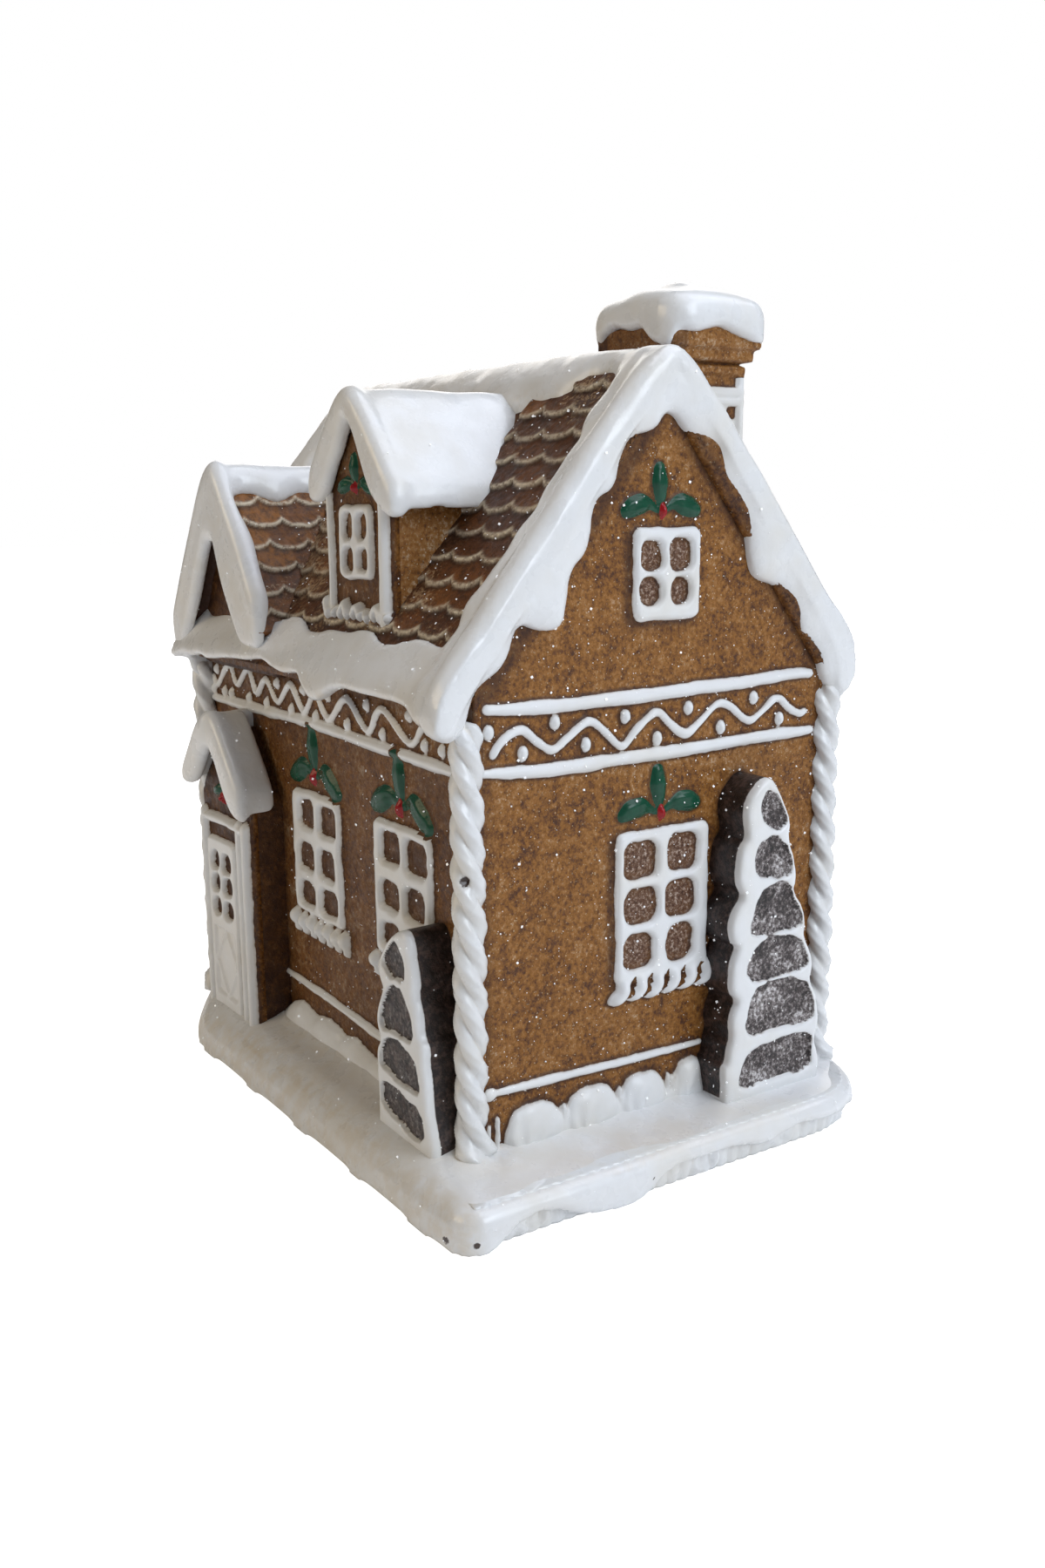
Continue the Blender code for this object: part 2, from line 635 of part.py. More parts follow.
def zigzag(m, u0, u1, peaks, z, amp=1.65, width=1.5):
    """The wavy icing line between the two bands, as a strip along a wave."""
    n = 2 * peaks + 1
    us = spread(u0, u1, n)
    line = [(u, z + (amp if i % 2 else -amp)) for i, u in enumerate(us)]
    top, low = [], []
    for i, (u, v) in enumerate(line):
        a, b = line[max(i - 1, 0)], line[min(i + 1, n - 1)]
        if i in (0, n - 1):
            t = Vector((b[0] - a[0], b[1] - a[1])).normalized()
            nu, nv, h = -t.y, t.x, width / 2
        else:
            nu, nv, h = 0.0, 1.0, width * 0.66
        top.append((u + nu * h, v + nv * h))
        low.append((u - nu * h, v - nv * h))
    return plate([top + list(reversed(low))], -1.0, PROUD - 0.1, m)


def dots(m, u0, u1, peaks, z_low, z_high):
    step = (u1 - u0) / peaks
    out = []
    for k in range(peaks):
        out.append(cone(u0 + step * (k + 0.5), z_low + 2.15, 1.0, 0.0, -0.8, 1.4, 4, m, 0.4 * k))
        if k < peaks - 1:
            out.append(cone(u0 + step * (k + 1), z_high - 2.35, 1.0, 0.0, -0.8, 1.4, 4, m, 0.4 * k + 0.3))
    return out


def shells(m, u0, u1, n):
    """A lace of half-round shells along the foot of a wall."""
    out = []
    step = (u1 - u0) / n
    for k in range(n):
        u = u0 + step * (k + 0.5)
        r = step * 0.43
        pts = [(u + r * math.cos(math.pi * i / 5), GROUND - 1.0 + 1.35 * r * math.sin(math.pi * i / 4)) for i in range(5)]
        out.append(plate([pts], -1.0, 1.5, m))
    return out


TIERS = ((0.0, 0.72), (0.175, 0.90), (0.335, 0.80), (0.49, 0.68), (0.645, 0.55), (0.79, 0.42), (1.0, 0.0))


def tree_outline(u, z0, h, half):
    """Half-round lobes down each side of a tall narrow cone."""
    right = []
    for (a, wa), (b, wb) in zip(TIERS, TIERS[1:]):
        wb_out = half * (1.0 - 0.82 * b)
        wa_out = half * (1.0 - 0.82 * a)
        right += [(wa_out * 0.86, z0 + h * a + 0.15), (wa_out * 1.02, z0 + h * (a + 0.35 * (b - a))), (wb_out * 1.0, z0 + h * (a + 0.8 * (b - a)))]
    right.append((0.7, z0 + h))
    return [(u + x, z) for x, z in right] + [(u - x, z) for x, z in reversed(right)]


def tree(m, u, z0, h, half, depth):
    slab = plate([tree_outline(u, z0, h, half)], -1.0, depth, m)
    panes = []
    for (a, _), (b, _) in zip(TIERS, TIERS[1:]):
        lo, hi = z0 + h * a + 1.5, z0 + h * b - (0.4 if b < 1 else 3.0)
        wl, wh = half * (1 - 0.82 * a) * 0.86 - 1.7, half * (1 - 0.82 * b) * (0.86 if b < 1 else 0.9) - 1.5
        wh = max(wh, 0.35)
        panes.append(plate([[(u - wl, lo), (u - wh, hi), (u + wh, hi), (u + wl, lo)]], depth - 0.9, depth + 1.0, m))
    return slab, panes


# ---------------------------------------------------------------- build
body = join([core_walls()])
body.name = "house_casting"
cutters.objects.unlink(body)
parts.objects.link(body)
body.hide_render = False
body.display_type = "TEXTURED"

combine(body, base())
combine(body, roof_board())
combine(body, [chimney()])

wing_walls, wing_board = wing()
combine(body, wing_walls)
combine(body, wing_board)
for sx in (1, -1):
    combine(body, wing_tiles(sx))
for side in ("front", "back"):
    combine(body, tile_sheet(slope(side), 13.4, 10, -43.4, 43.4))

combine(body, dormer_body())
combine(body, porch_body())

combine(body, ridge_snow())
combine(body, [rake_snow(1), rake_snow(-1)])
combine(body, [eave_snow(-1), eave_snow(1)])
combine(body, wing_ridge())
combine(body, wing_rake())
combine(body, dormer_snow())
combine(body, porch_snow())
combine(body, chimney_snow())
combine(body, nub())

combine(body, [column(sx * WALL_X, sy * WALL_Y) for sx in (1, -1) for sy in (1, -1)])

G, F, B, A = wall("gable"), wall("front"), wall("back"), wall("far")

lines = []
for m, half in ((G, WALL_Y - 1.2), (A, WALL_Y - 1.2), (F, WALL_X - 1.2), (B, WALL_X - 1.2)):
    for z, w in ((BAND_LOW, LINE), (BAND_FOOT, 1.5)):
        lines.append(box(-half, half, z - w / 2, z + w / 2, -1.0, PROUD, m))
for m in (G, A):
    lines.append(box(-31.2, 30.4, BAND_HIGH - LINE / 2, BAND_HIGH + LINE / 2, -1.0, PROUD, m))
combine(body, lines)

mid = (BAND_LOW + BAND_HIGH) / 2
for m, half, n in ((G, 30.2, 5), (A, 30.2, 5), (F, 44.2, 8), (B, 44.2, 8)):
    combine(body, zigzag(m, -half, half, n, mid))
spots = []
for m, half, n in ((G, 30.2, 5), (A, 30.2, 5), (F, 44.2, 8), (B, 44.2, 8)):
    spots += dots(m, -half, half, n, BAND_LOW, BAND_HIGH)
combine(body, spots)

frames = [window(F, u, WIN_W, WIN_Z0, WIN_Z1, 3) for u in FRONT_WINDOWS]
frames += [window(B, u, WIN_W, WIN_Z0, WIN_Z1, 3) for u in BACK_WINDOWS]
frames += [window(m, 0.0, WIN_W, WIN_Z0, WIN_Z1, 3) for m in (G, A)]
frames += [window(m, 0.3, ATTIC_W, ATTIC_Z0, ATTIC_Z1, 2) for m in (G, A)]
DF = frame((0, -DORMER_FRONT, 0), (1, 0, 0), (0, 0, 1), (0, -1, 0))
frames.append(window(DF, DORMER_X - 0.4, 10.6, 86.4, 97.4, 2))
combine(body, frames)

sills = [sill(F, u, WIN_W, WIN_Z0) for u in FRONT_WINDOWS] + [sill(B, u, WIN_W, WIN_Z0) for u in BACK_WINDOWS]
sills += [sill(m, 0.0, WIN_W, WIN_Z0) for m in (G, A)]
sills.append(box(DORMER_X - 11.4, DORMER_X + 11.4, 79.4, 82.2, -1.0, 1.6, DF))
combine(body, sills)
combine(body, [box(DORMER_X + s * 9.5 - 1.1, DORMER_X + s * 9.5 + 1.1, 81.0, 98.6, -1.2, 1.1, DF) for s in (-1, 1)])

leaves = []
for m, u, z, k in [(F, u, WIN_Z1 + 2.0, 1.0) for u in FRONT_WINDOWS] + [(B, u, WIN_Z1 + 2.0, 1.0) for u in BACK_WINDOWS] \
        + [(G, 0.0, WIN_Z1 + 2.0, 1.0), (A, 0.0, WIN_Z1 + 2.0, 1.0), (G, 0.0, ATTIC_Z1 + 2.3, 0.95), (A, 0.0, ATTIC_Z1 + 2.3, 0.95)]:
    leaves += holly(m, u, z, k)
leaves += holly(DF, DORMER_X, 100.4, 0.8)
PF = frame((0, -PORCH_FRONT, 0), (1, 0, 0), (0, 0, 1), (0, -1, 0))
leaves += holly(PF, PORCH_X, 50.9, 0.8)
combine(body, leaves)

door = [rounded(PORCH_X - 6.3, PORCH_X + 6.3, GROUND - 1.5, 43.6, 1.2)]
for k in range(2):
    for r in range(3):
        a, b = PORCH_X - 4.6 + k * 5.0, 25.6 + r * 5.6
        door.append([(a, b), (a, b + 4.2), (a + 4.2, b + 4.2), (a + 4.2, b)])
door.append([(PORCH_X - 4.6, 11.0), (PORCH_X - 4.6, 23.4), (PORCH_X + 4.6, 23.4), (PORCH_X + 4.6, 11.0)])
combine(body, plate(door, -1.0, 1.1, PF))
combine(body, [plate([[(PORCH_X, 12.2), (PORCH_X - 3.6, 17.2), (PORCH_X, 22.2), (PORCH_X + 3.6, 17.2)]], -1.0, 0.9, PF)]
        + [box(PORCH_X + s * 9.6 - 1.1, PORCH_X + s * 9.6 + 1.1, GROUND - 1.5, 46.6, -1.2, 1.2, PF) for s in (-1, 1)]
        + [box(PORCH_X - 8.3, PORCH_X + 8.3, 45.7, 47.5, -1.2, 1.0, PF)])

combine(body, shells(G, -31.0, 9.6, 5) + shells(A, -27.0, 27.0, 5) + shells(F, -15.0, 17.6, 4) + shells(B, -40.0, 40.0, 6))

for m, u, z0, h, half, depth in ((G, 17.8, 5.6, 50.8, 8.6, 7.1), (F, 36.6, 5.4, 34.2, 7.9, 7.3)):
    slab, panes = tree(m, u, z0, h, half, depth)
    combine(body, slab)
    combine(body, panes, "DIFFERENCE")

# one material: the whole piece is one painted casting, its main colour is the golden brown of the walls
mat = bpy.data.materials.new("painted_resin_brown")
mat.use_nodes = True
bsdf = mat.node_tree.nodes["Principled BSDF"]
bsdf.inputs["Base Color"].default_value = (*BROWN, 1.0)
bsdf.inputs["Roughness"].default_value = 0.48
bsdf.inputs["Metallic"].default_value = 0.0
body.data.materials.clear()
body.data.materials.append(mat)

# tidy the mesh: let flat neighbours merge, keep the exact bounds, then to metres in the part's frame
bm = bmesh.new()
bm.from_mesh(body.data)
bmesh.ops.triangulate(bm, faces=bm.faces)
bm.to_mesh(body.data)
count = len(bm.faces)
bm.free()
mod = body.modifiers.new("merge", "DECIMATE")
mod.ratio = min(1.0, TRIANGLES / count)
me = bpy.data.meshes.new_from_object(body.evaluated_get(bpy.context.evaluated_depsgraph_get()))
body.modifiers.clear()
body.data = me
bounds = ((-SNOW_X, BASE_X1), (BASE_Y0, 40.2), (0.0, TOP))
for v in me.vertices:
    for i, (lo, hi) in enumerate(bounds):
        v.co[i] = min(max(v.co[i], lo), hi)
        if i == 2 and v.co.z < 0.004:
            v.co.z = 0.0
me.transform(Matrix.Scale(MM, 4) @ Matrix.Translation((-OX, -OY, 0)))
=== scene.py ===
import math

import bpy
import numpy as np
from mathutils import Matrix, Vector


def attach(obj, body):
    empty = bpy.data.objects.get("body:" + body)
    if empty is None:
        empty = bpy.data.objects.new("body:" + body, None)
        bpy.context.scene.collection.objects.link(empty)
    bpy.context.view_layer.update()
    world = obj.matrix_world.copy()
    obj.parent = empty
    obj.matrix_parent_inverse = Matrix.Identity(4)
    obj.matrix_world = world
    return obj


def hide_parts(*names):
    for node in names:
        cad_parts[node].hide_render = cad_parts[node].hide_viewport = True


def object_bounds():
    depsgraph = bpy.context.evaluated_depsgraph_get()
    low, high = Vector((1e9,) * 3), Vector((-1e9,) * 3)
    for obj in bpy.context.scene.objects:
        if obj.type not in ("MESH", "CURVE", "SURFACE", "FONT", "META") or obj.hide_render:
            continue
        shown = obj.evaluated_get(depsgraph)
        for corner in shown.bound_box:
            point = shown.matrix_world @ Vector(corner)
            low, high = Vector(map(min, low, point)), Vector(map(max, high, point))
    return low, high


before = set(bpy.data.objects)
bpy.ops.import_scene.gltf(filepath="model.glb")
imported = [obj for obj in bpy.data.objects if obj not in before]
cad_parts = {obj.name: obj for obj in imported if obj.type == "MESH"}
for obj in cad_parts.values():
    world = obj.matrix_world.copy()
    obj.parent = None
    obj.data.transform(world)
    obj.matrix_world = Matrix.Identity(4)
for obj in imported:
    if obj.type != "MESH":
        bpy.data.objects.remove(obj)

cad_lo, cad_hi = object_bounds()

# House millimetres: x along the main ridge, y across, z up, the middle of the walls at 0,0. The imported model's box gives
# the shift into the part's own frame.
SHIFT = np.array([cad_hi.x * 1000 - 61.75, cad_lo.y * 1000 + 45.0, cad_lo.z * 1000])
HIGH = (cad_hi.z - cad_lo.z) * 1000
f4 = np.float32

RIDGE, PITCH = 119.3, 1.27
COS = 1 / math.hypot(1, PITCH)
SIN = PITCH * COS
WALL_X, WALL_Y, GROUND = 46.9, 32.9, 6.6

# ------------------------------------------------------------------ noise
_tab = np.random.RandomState(11).rand(64, 64, 64).astype(f4) * 2 - 1


def _fade(t):
    return t * t * (3 - 2 * t)


def noise2(x, y, scale, seed=0):
    x = np.asarray(x, f4) / scale + 31.7 * seed + 100
    y = np.asarray(y, f4) / scale + 17.3 * seed + 100
    x, y = np.broadcast_arrays(x, y)
    xi, yi = np.floor(x).astype(np.int32), np.floor(y).astype(np.int32)
    fx, fy = _fade(x - xi), _fade(y - yi)
    t = _tab[(seed * 7) & 63]
    a, b, c, d = t[xi & 63, yi & 63], t[(xi + 1) & 63, yi & 63], t[xi & 63, (yi + 1) & 63], t[(xi + 1) & 63, (yi + 1) & 63]
    return (a + (b - a) * fx) * (1 - fy) + (c + (d - c) * fx) * fy


def noise3(x, y, z, scale, seed=0):
    x, y, z = np.broadcast_arrays(*[np.asarray(c, f4) / scale + 100 + k * seed for c, k in ((x, 31.7), (y, 17.3), (z, 23.9))])
    i, j, k = (np.floor(c).astype(np.int32) for c in (x, y, z))
    fx, fy, fz = _fade(x - i), _fade(y - j), _fade(z - k)
    out = 0
    for a, wx in ((0, 1 - fx), (1, fx)):
        for b, wy in ((0, 1 - fy), (1, fy)):
            for c, wz in ((0, 1 - fz), (1, fz)):
                out = out + wx * wy * wz * _tab[(i + a) & 63, (j + b) & 63, (k + c) & 63]
    return out


def wave(t, seed=0.0):
    return 0.6 * np.sin(t + seed) + 0.4 * np.sin(1.73 * t + 2.1 * seed + 0.8)


# ------------------------------------------------------------------ distance helpers
def smin(a, b, k):
    h = np.clip(0.5 + 0.5 * (b - a) / k, 0, 1)
    return b + (a - b) * h - k * h * (1 - h)


def smax(a, b, k):
    return -smin(-a, -b, k)


def rrect(U, V, u0, u1, v0, v1, r):
    a = np.abs(U - (u0 + u1) / 2) - (u1 - u0) / 2 + r
    b = np.abs(V - (v0 + v1) / 2) - (v1 - v0) / 2 + r
    return np.hypot(np.maximum(a, 0), np.maximum(b, 0)) + np.minimum(np.maximum(a, b), 0) - r


def chaikin(pts, n=2, closed=True):
    p = np.array(pts, float)
    for _ in range(n):
        q = np.roll(p, -1, 0) if closed else p[1:]
        s = p if closed else p[:-1]
        new = np.stack([0.75 * s + 0.25 * q, 0.25 * s + 0.75 * q], 1).reshape(-1, 2)
        p = new if closed else np.vstack([p[:1], new, p[-1:]])
    return p


def curve(pts, n=6):
    """Catmull-Rom through the points."""
    p = np.array(pts, float)
    p = np.vstack([2 * p[0] - p[1], p, 2 * p[-1] - p[-2]])
    out = []
    for i in range(1, len(p) - 2):
        a, b, c, d = p[i - 1], p[i], p[i + 1], p[i + 2]
        for t in np.arange(n) / n:
            out.append(0.5 * (2 * b + (c - a) * t + (2 * a - 5 * b + 4 * c - d) * t * t + (3 * b - a - 3 * c + d) * t ** 3))
    out.append(p[-2])
    return np.array(out)


def poly_sd(P, U, V, values=None):
    """Signed distance to a closed outline, negative inside, and a value carried along the outline."""
    U, V = np.broadcast_arrays(np.asarray(U, f4), np.asarray(V, f4))
    d = np.full(U.shape, 1e9, f4)
    inside = np.zeros(U.shape, bool)
    val = np.zeros(U.shape, f4) if values is not None else None
    Q = np.roll(P, -1, 0)
    for i, ((x1, y1), (x2, y2)) in enumerate(zip(P, Q)):
        ex, ey = x2 - x1, y2 - y1
        t = np.clip(((U - x1) * ex + (V - y1) * ey) / (ex * ex + ey * ey + 1e-9), 0, 1)
        dd = (U - x1 - t * ex) ** 2 + (V - y1 - t * ey) ** 2
        near = dd < d
        d = np.where(near, dd, d)
        if val is not None:
            a, b = values[i], values[(i + 1) % len(P)]
            val = np.where(near, a + (b - a) * t, val)
        inside ^= ((y1 > V) != (y2 > V)) & (U < (x2 - x1) * (V - y1) / (y2 - y1 + 1e-12) + x1)
    s = np.where(inside, -1, 1) * np.sqrt(d)
    return s if val is None else (s, val)


def line_sd(P, R, U, V):
    """Distance to a polyline less its radius, and the share of the local radius (0 on the line, 1 at the edge)."""
    R = np.broadcast_to(np.asarray(R, float), (len(P),))
    d = np.full(U.shape, 1e9, f4)
    q = np.full(U.shape, 1e9, f4)
    rr = np.full(U.shape, R[0], f4)
    if len(P) == 1:
        dist = np.hypot(U - P[0][0], V - P[0][1])
        return dist - R[0], dist / R[0], rr
    for (x1, y1), (x2, y2), ra, rb in zip(P[:-1], P[1:], R[:-1], R[1:]):
        ex, ey = x2 - x1, y2 - y1
        t = np.clip(((U - x1) * ex + (V - y1) * ey) / (ex * ex + ey * ey + 1e-9), 0, 1)
        dist = np.hypot(U - x1 - t * ex, V - y1 - t * ey)
        r = ra + (rb - ra) * t
        near = dist / r < q
        q = np.where(near, dist / r, q)
        rr = np.where(near, r, rr)
        d = np.minimum(d, dist - r)
    return d, q, rr


# ------------------------------------------------------------------ meshes
pieces = []


def mesh_object(name, V, quads, material, attrs=None, tris=None, ngons=None, smooth=True, flat_from=None):
    """A mesh piece from house millimetres, with per-point paint values."""
    me = bpy.data.meshes.new(name)
    V = (np.asarray(V, np.float64) + SHIFT) * 0.001
    parts = [np.asarray(quads, np.int32).reshape(-1)]
    sizes = [np.full(len(quads), 4, np.int32)]
    if tris is not None and len(tris):
        parts.append(np.asarray(tris, np.int32).reshape(-1))
        sizes.append(np.full(len(tris), 3, np.int32))
    for g in ngons or []:
        parts.append(np.asarray(g, np.int32))
        sizes.append(np.array([len(g)], np.int32))
    loops, size = np.concatenate(parts), np.concatenate(sizes)
    me.vertices.add(len(V))
    me.vertices.foreach_set("co", V.astype(f4).ravel())
    me.loops.add(len(loops))
    me.loops.foreach_set("vertex_index", loops)
    me.polygons.add(len(size))
    me.polygons.foreach_set("loop_start", np.concatenate([[0], np.cumsum(size)[:-1]]).astype(np.int32))
    me.polygons.foreach_set("use_smooth", np.full(len(size), smooth))
    for k, v in (attrs or {}).items():
        a = me.attributes.new(k, "FLOAT", "POINT")
        a.data.foreach_set("value", np.broadcast_to(np.asarray(v, f4), (len(V),)).copy())
    me.update()
    me.validate()
    me.materials.append(material)
    ob = bpy.data.objects.new(name, me)
    bpy.context.scene.collection.objects.link(ob)
    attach(ob, "root")
    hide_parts("house_casting")
    pieces.append(ob)
    return ob


def nets(field, origin, h):
    """Surface nets of field = 0 over a grid of spacing h, as points and quads."""
    s = field < 0
    c = s.astype(np.uint8)
    tot = sum(c[a:a + s.shape[0] - 1, b:b + s.shape[1] - 1, d:d + s.shape[2] - 1] for a in (0, 1) for b in (0, 1) for d in (0, 1))
    active = (tot > 0) & (tot < 8)
    I = np.argwhere(active)
    idx = np.full(active.shape, -1, np.int32)
    idx[active] = np.arange(len(I))
    pos, cnt = np.zeros((len(I), 3)), np.zeros(len(I))
    corners = {(a, b, d): field[I[:, 0] + a, I[:, 1] + b, I[:, 2] + d].astype(float) for a in (0, 1) for b in (0, 1) for d in (0, 1)}
    for p in corners:
        for ax in range(3):
            if p[ax] == 0:
                q = tuple(1 if i == ax else v for i, v in enumerate(p))
                fa, fb = corners[p], corners[q]
                hit = (fa < 0) != (fb < 0)
                t = np.where(hit, fa / np.where(fa == fb, 1, fa - fb), 0)
                for i in range(3):
                    pos[:, i] += hit * (p[i] + (t if i == ax else 0))
                cnt += hit
    V = np.array(origin) + (I + pos / cnt[:, None]) * h
    quads = []
    for ax in range(3):
        o = [i for i in range(3) if i != ax]
        lo = [slice(None)] * 3
        hi = [slice(None)] * 3
        lo[ax], hi[ax] = slice(0, -1), slice(1, None)
        for i in o:
            lo[i] = hi[i] = slice(1, -1)
        a, b = s[tuple(lo)], s[tuple(hi)]
        e = np.argwhere(a != b)
        if not len(e):
            continue
        up = a[tuple(e.T)]
        g = e.copy()
        g[:, o[0]] += 1
        g[:, o[1]] += 1
        k = []
        for da, db in ((-1, -1), (0, -1), (0, 0), (-1, 0)):
            j = g.copy()
            j[:, o[0]] += da
            j[:, o[1]] += db
            k.append(idx[tuple(j.T)])
        k = np.stack(k, 1)
        flip = up if ax != 1 else ~up
        k[~flip] = k[~flip][:, ::-1]
        quads.append(k)
    return V, np.concatenate(quads)


def grid(lo, hi, h):
    """Open coordinate axes over a box, and its origin."""
    n = [int(math.ceil((b - a) / h)) + 1 for a, b in zip(lo, hi)]
    ax = [(lo[i] + h * np.arange(n[i])).astype(f4) for i in range(3)]
    return ax[0][:, None, None], ax[1][None, :, None], ax[2][None, None, :]


def sdf_object(name, field, lo, h, material, attrs=None, smooth_passes=0):
    V, Q = nets(field, lo, h)
    used = np.unique(Q)
    remap = np.full(len(V), -1)
    remap[used] = np.arange(len(used))
    V, Q = V[used], remap[Q]
    for _ in range(smooth_passes):
        acc, cnt = np.zeros_like(V), np.zeros(len(V))
        for a, b in ((0, 1), (1, 2), (2, 3), (3, 0)):
            np.add.at(acc, Q[:, a], V[Q[:, b]])
            np.add.at(acc, Q[:, b], V[Q[:, a]])
            cnt += np.bincount(Q[:, a], minlength=len(V)) + np.bincount(Q[:, b], minlength=len(V))
        V = V * 0.5 + acc / cnt[:, None] * 0.5
    vals = attrs(V) if attrs else None
    return mesh_object(name, V, Q, material, vals)


def frame_of(origin, u, v, w):
    return tuple(np.array(a, float) for a in (origin, u, v, w))


def place(fr, u, v, w):
    o, a, b, c = fr
    return o + np.asarray(u)[..., None] * a + np.asarray(v)[..., None] * b + np.asarray(w)[..., None] * c


GABLE = frame_of((WALL_X, 0, 0), (0, 1, 0), (0, 0, 1), (1, 0, 0))
FAR = frame_of((-WALL_X, 0, 0), (0, -1, 0), (0, 0, 1), (-1, 0, 0))
FRONT = frame_of((0, -WALL_Y, 0), (1, 0, 0), (0, 0, 1), (0, -1, 0))
BACK = frame_of((0, WALL_Y, 0), (-1, 0, 0), (0, 0, 1), (0, 1, 0))
ROOF_FRONT = frame_of((0, 0, RIDGE), (1, 0, 0), (0, COS, SIN), (0, -SIN, COS))
ROOF_BACK = frame_of((0, 0, RIDGE), (-1, 0, 0), (0, -COS, SIN), (0, SIN, COS))


class Relief:
    """Moulded relief on a flat face: a height and paint distances on a fine grid, thinned to a mesh of half its density."""

    def __init__(s, u0, u1, v0, v1, step, seed=0):
        s.step, s.f = step, step / 2
        s.nu, s.nv = int(math.ceil((u1 - u0) / step)), int(math.ceil((v1 - v0) / step))
        s.u0, s.v0, s.seed = u0, v0, seed
        s.fu = (u0 + s.f * np.arange(2 * s.nu + 1)).astype(f4)
        s.fv = (v0 + s.f * np.arange(2 * s.nv + 1)).astype(f4)
        shape = (len(s.fu), len(s.fv))
        s.H = np.zeros(shape, f4)
        s.L = {k: np.full(shape, 9.0, f4) for k in ("icing", "leaf", "berry")}
        s.A = {k: np.zeros(shape, f4) for k in ("wash_and_shade", "pane", "frost", "tone", "lip")}
        s.rng = np.random.RandomState(100 + seed)

    def win(s, ua, ub, va, vb):
        i0, i1 = max(0, int((ua - s.u0) / s.f)), min(len(s.fu), int((ub - s.u0) / s.f) + 2)
        j0, j1 = max(0, int((va - s.v0) / s.f)), min(len(s.fv), int((vb - s.v0) / s.f) + 2)
        sl = (slice(i0, i1), slice(j0, j1))
        return sl, s.fu[i0:i1, None] + 0 * s.fv[None, j0:j1], s.fv[None, j0:j1] + 0 * s.fu[i0:i1, None]

    def all(s):
        return s.fu[:, None] + 0 * s.fv[None, :], s.fv[None, :] + 0 * s.fu[:, None]

    def stroke(s, pts, r, proud, layer="icing", base=0.0, rough=0.07, vein=False):
        P = np.array(pts, float)
        R = np.broadcast_to(np.asarray(r, float), (len(P),))
        pad = R.max() + 1.2
        sl, U, V = s.win(P[:, 0].min() - pad, P[:, 0].max() + pad, P[:, 1].min() - pad, P[:, 1].max() + pad)
        if U.size == 0:
            return
        n = rough * noise2(U, V, 1.3, s.seed + 3) + rough * 1.4 * noise2(U, V, 3.7, s.seed + 4)
        d, q, rr = line_sd(P, R, U, V)
        q = q + n / R.max()
        t = np.clip(q, 0, 1)
        h = proud * (rr / R.max()) ** 0.8 * (1 - t ** 2.3) ** 0.6
        if vein:
            dd, _, _ = line_sd(P[:-1], 0.05, U, V)
            h = h - 0.22 * np.exp(-(np.maximum(dd, 0) / 0.22) ** 2) * (t < 0.85)
        s.H[sl] = np.maximum(s.H[sl], np.where(t < 1, base + h, -9))
        s.L[layer][sl] = np.minimum(s.L[layer][sl], d + n)
        if layer in ("leaf", "berry"):
            s.L["icing"][sl] = np.where(d < 0.05, 9.0, s.L["icing"][sl])

    def blob(s, u, v, a, b, proud, layer="icing", base=0.0, turn=0.0):
        pad = max(a, b) + 0.8
        sl, U, V = s.win(u - pad, u + pad, v - pad, v + pad)
        if U.size == 0:
            return
        c, si = math.cos(turn), math.sin(turn)
        x, y = (U - u) * c + (V - v) * si, -(U - u) * si + (V - v) * c
        q = np.hypot(x / a, y / b) + 0.05 * noise2(U, V, 0.9, s.seed + 5)
        t = np.clip(q, 0, 1)
        s.H[sl] = np.maximum(s.H[sl], np.where(t < 1, base + proud * (1 - t ** 2.2) ** 0.55, -9))
        s.L[layer][sl] = np.minimum(s.L[layer][sl], (q - 1) * min(a, b))
        if layer in ("leaf", "berry"):
            s.L["icing"][sl] = np.where(q < 1.05, 9.0, s.L["icing"][sl])

    def window(s, u0, u1, v0, v1, panes, proud=1.1, half=0.95, ro=1.1, rp=0.9, pane_shade=0.0):
        sl, U, V = s.win(u0 - 2.5, u1 + 2.5, v0 - 2.5, v1 + 2.5)
        wob = 0.14 * noise2(U, V, 1.6, s.seed + 6) + 0.16 * noise2(U, V, 4.2, s.seed + 7)
        O = rrect(U, V, u0, u1, v0, v1, ro) + wob
        P = np.full(U.shape, 9.0, f4)
        for q in panes:
            if len(q) == 4 and not hasattr(q[0], "__len__"):
                a, b, c, d = q
                P = np.minimum(P, rrect(U, V, a, b, c, d, min(rp, (b - a) / 2.05, (d - c) / 2.05)) + wob)
            else:
                P = np.minimum(P, poly_sd(chaikin(q, 2), U, V) + wob)
        D = np.maximum(O, -P)
        t = np.clip(-D / half, 0, 1)
        s.H[sl] = np.where(D < 0, np.maximum(s.H[sl], proud * (1 - (1 - t) ** 2.4) ** 0.5), s.H[sl])
        inside = P < 0
        s.H[sl] = np.where(inside, -0.25 + 0.25 * np.clip(-P / 1.6, 0, 1) + 0.1 * noise2(U, V, 0.8, 9), s.H[sl])
        s.L["icing"][sl] = np.minimum(s.L["icing"][sl], D)
        # wash and painted shade: dark at the rim inside each pane, and a painted shadow of the frame to its left and
        # below
        rim = np.exp(-np.clip(-P, 0, 9) / 0.55) * inside
        side = rrect(U - 0.7, V - 0.6, u0, u1, v0, v1, ro)
        s.A["pane"][sl] = np.maximum(s.A["pane"][sl], inside * 1.0)
        s.A["wash_and_shade"][sl] = np.maximum(s.A["wash_and_shade"][sl], rim * 0.9)
        left = np.exp(-np.clip(rrect(U + 0.9, V + 0.5, u0, u1, v0, v1, ro), 0, 9) / 0.55)
        s.A["wash_and_shade"][sl] = np.maximum(s.A["wash_and_shade"][sl], 0.85 * left * (~inside) * (D > 0))
        # painted shade: on shaded faces the whole pane is darkened to near black
        if pane_shade:
            s.A["wash_and_shade"][sl] = np.where(inside, pane_shade, s.A["wash_and_shade"][sl])

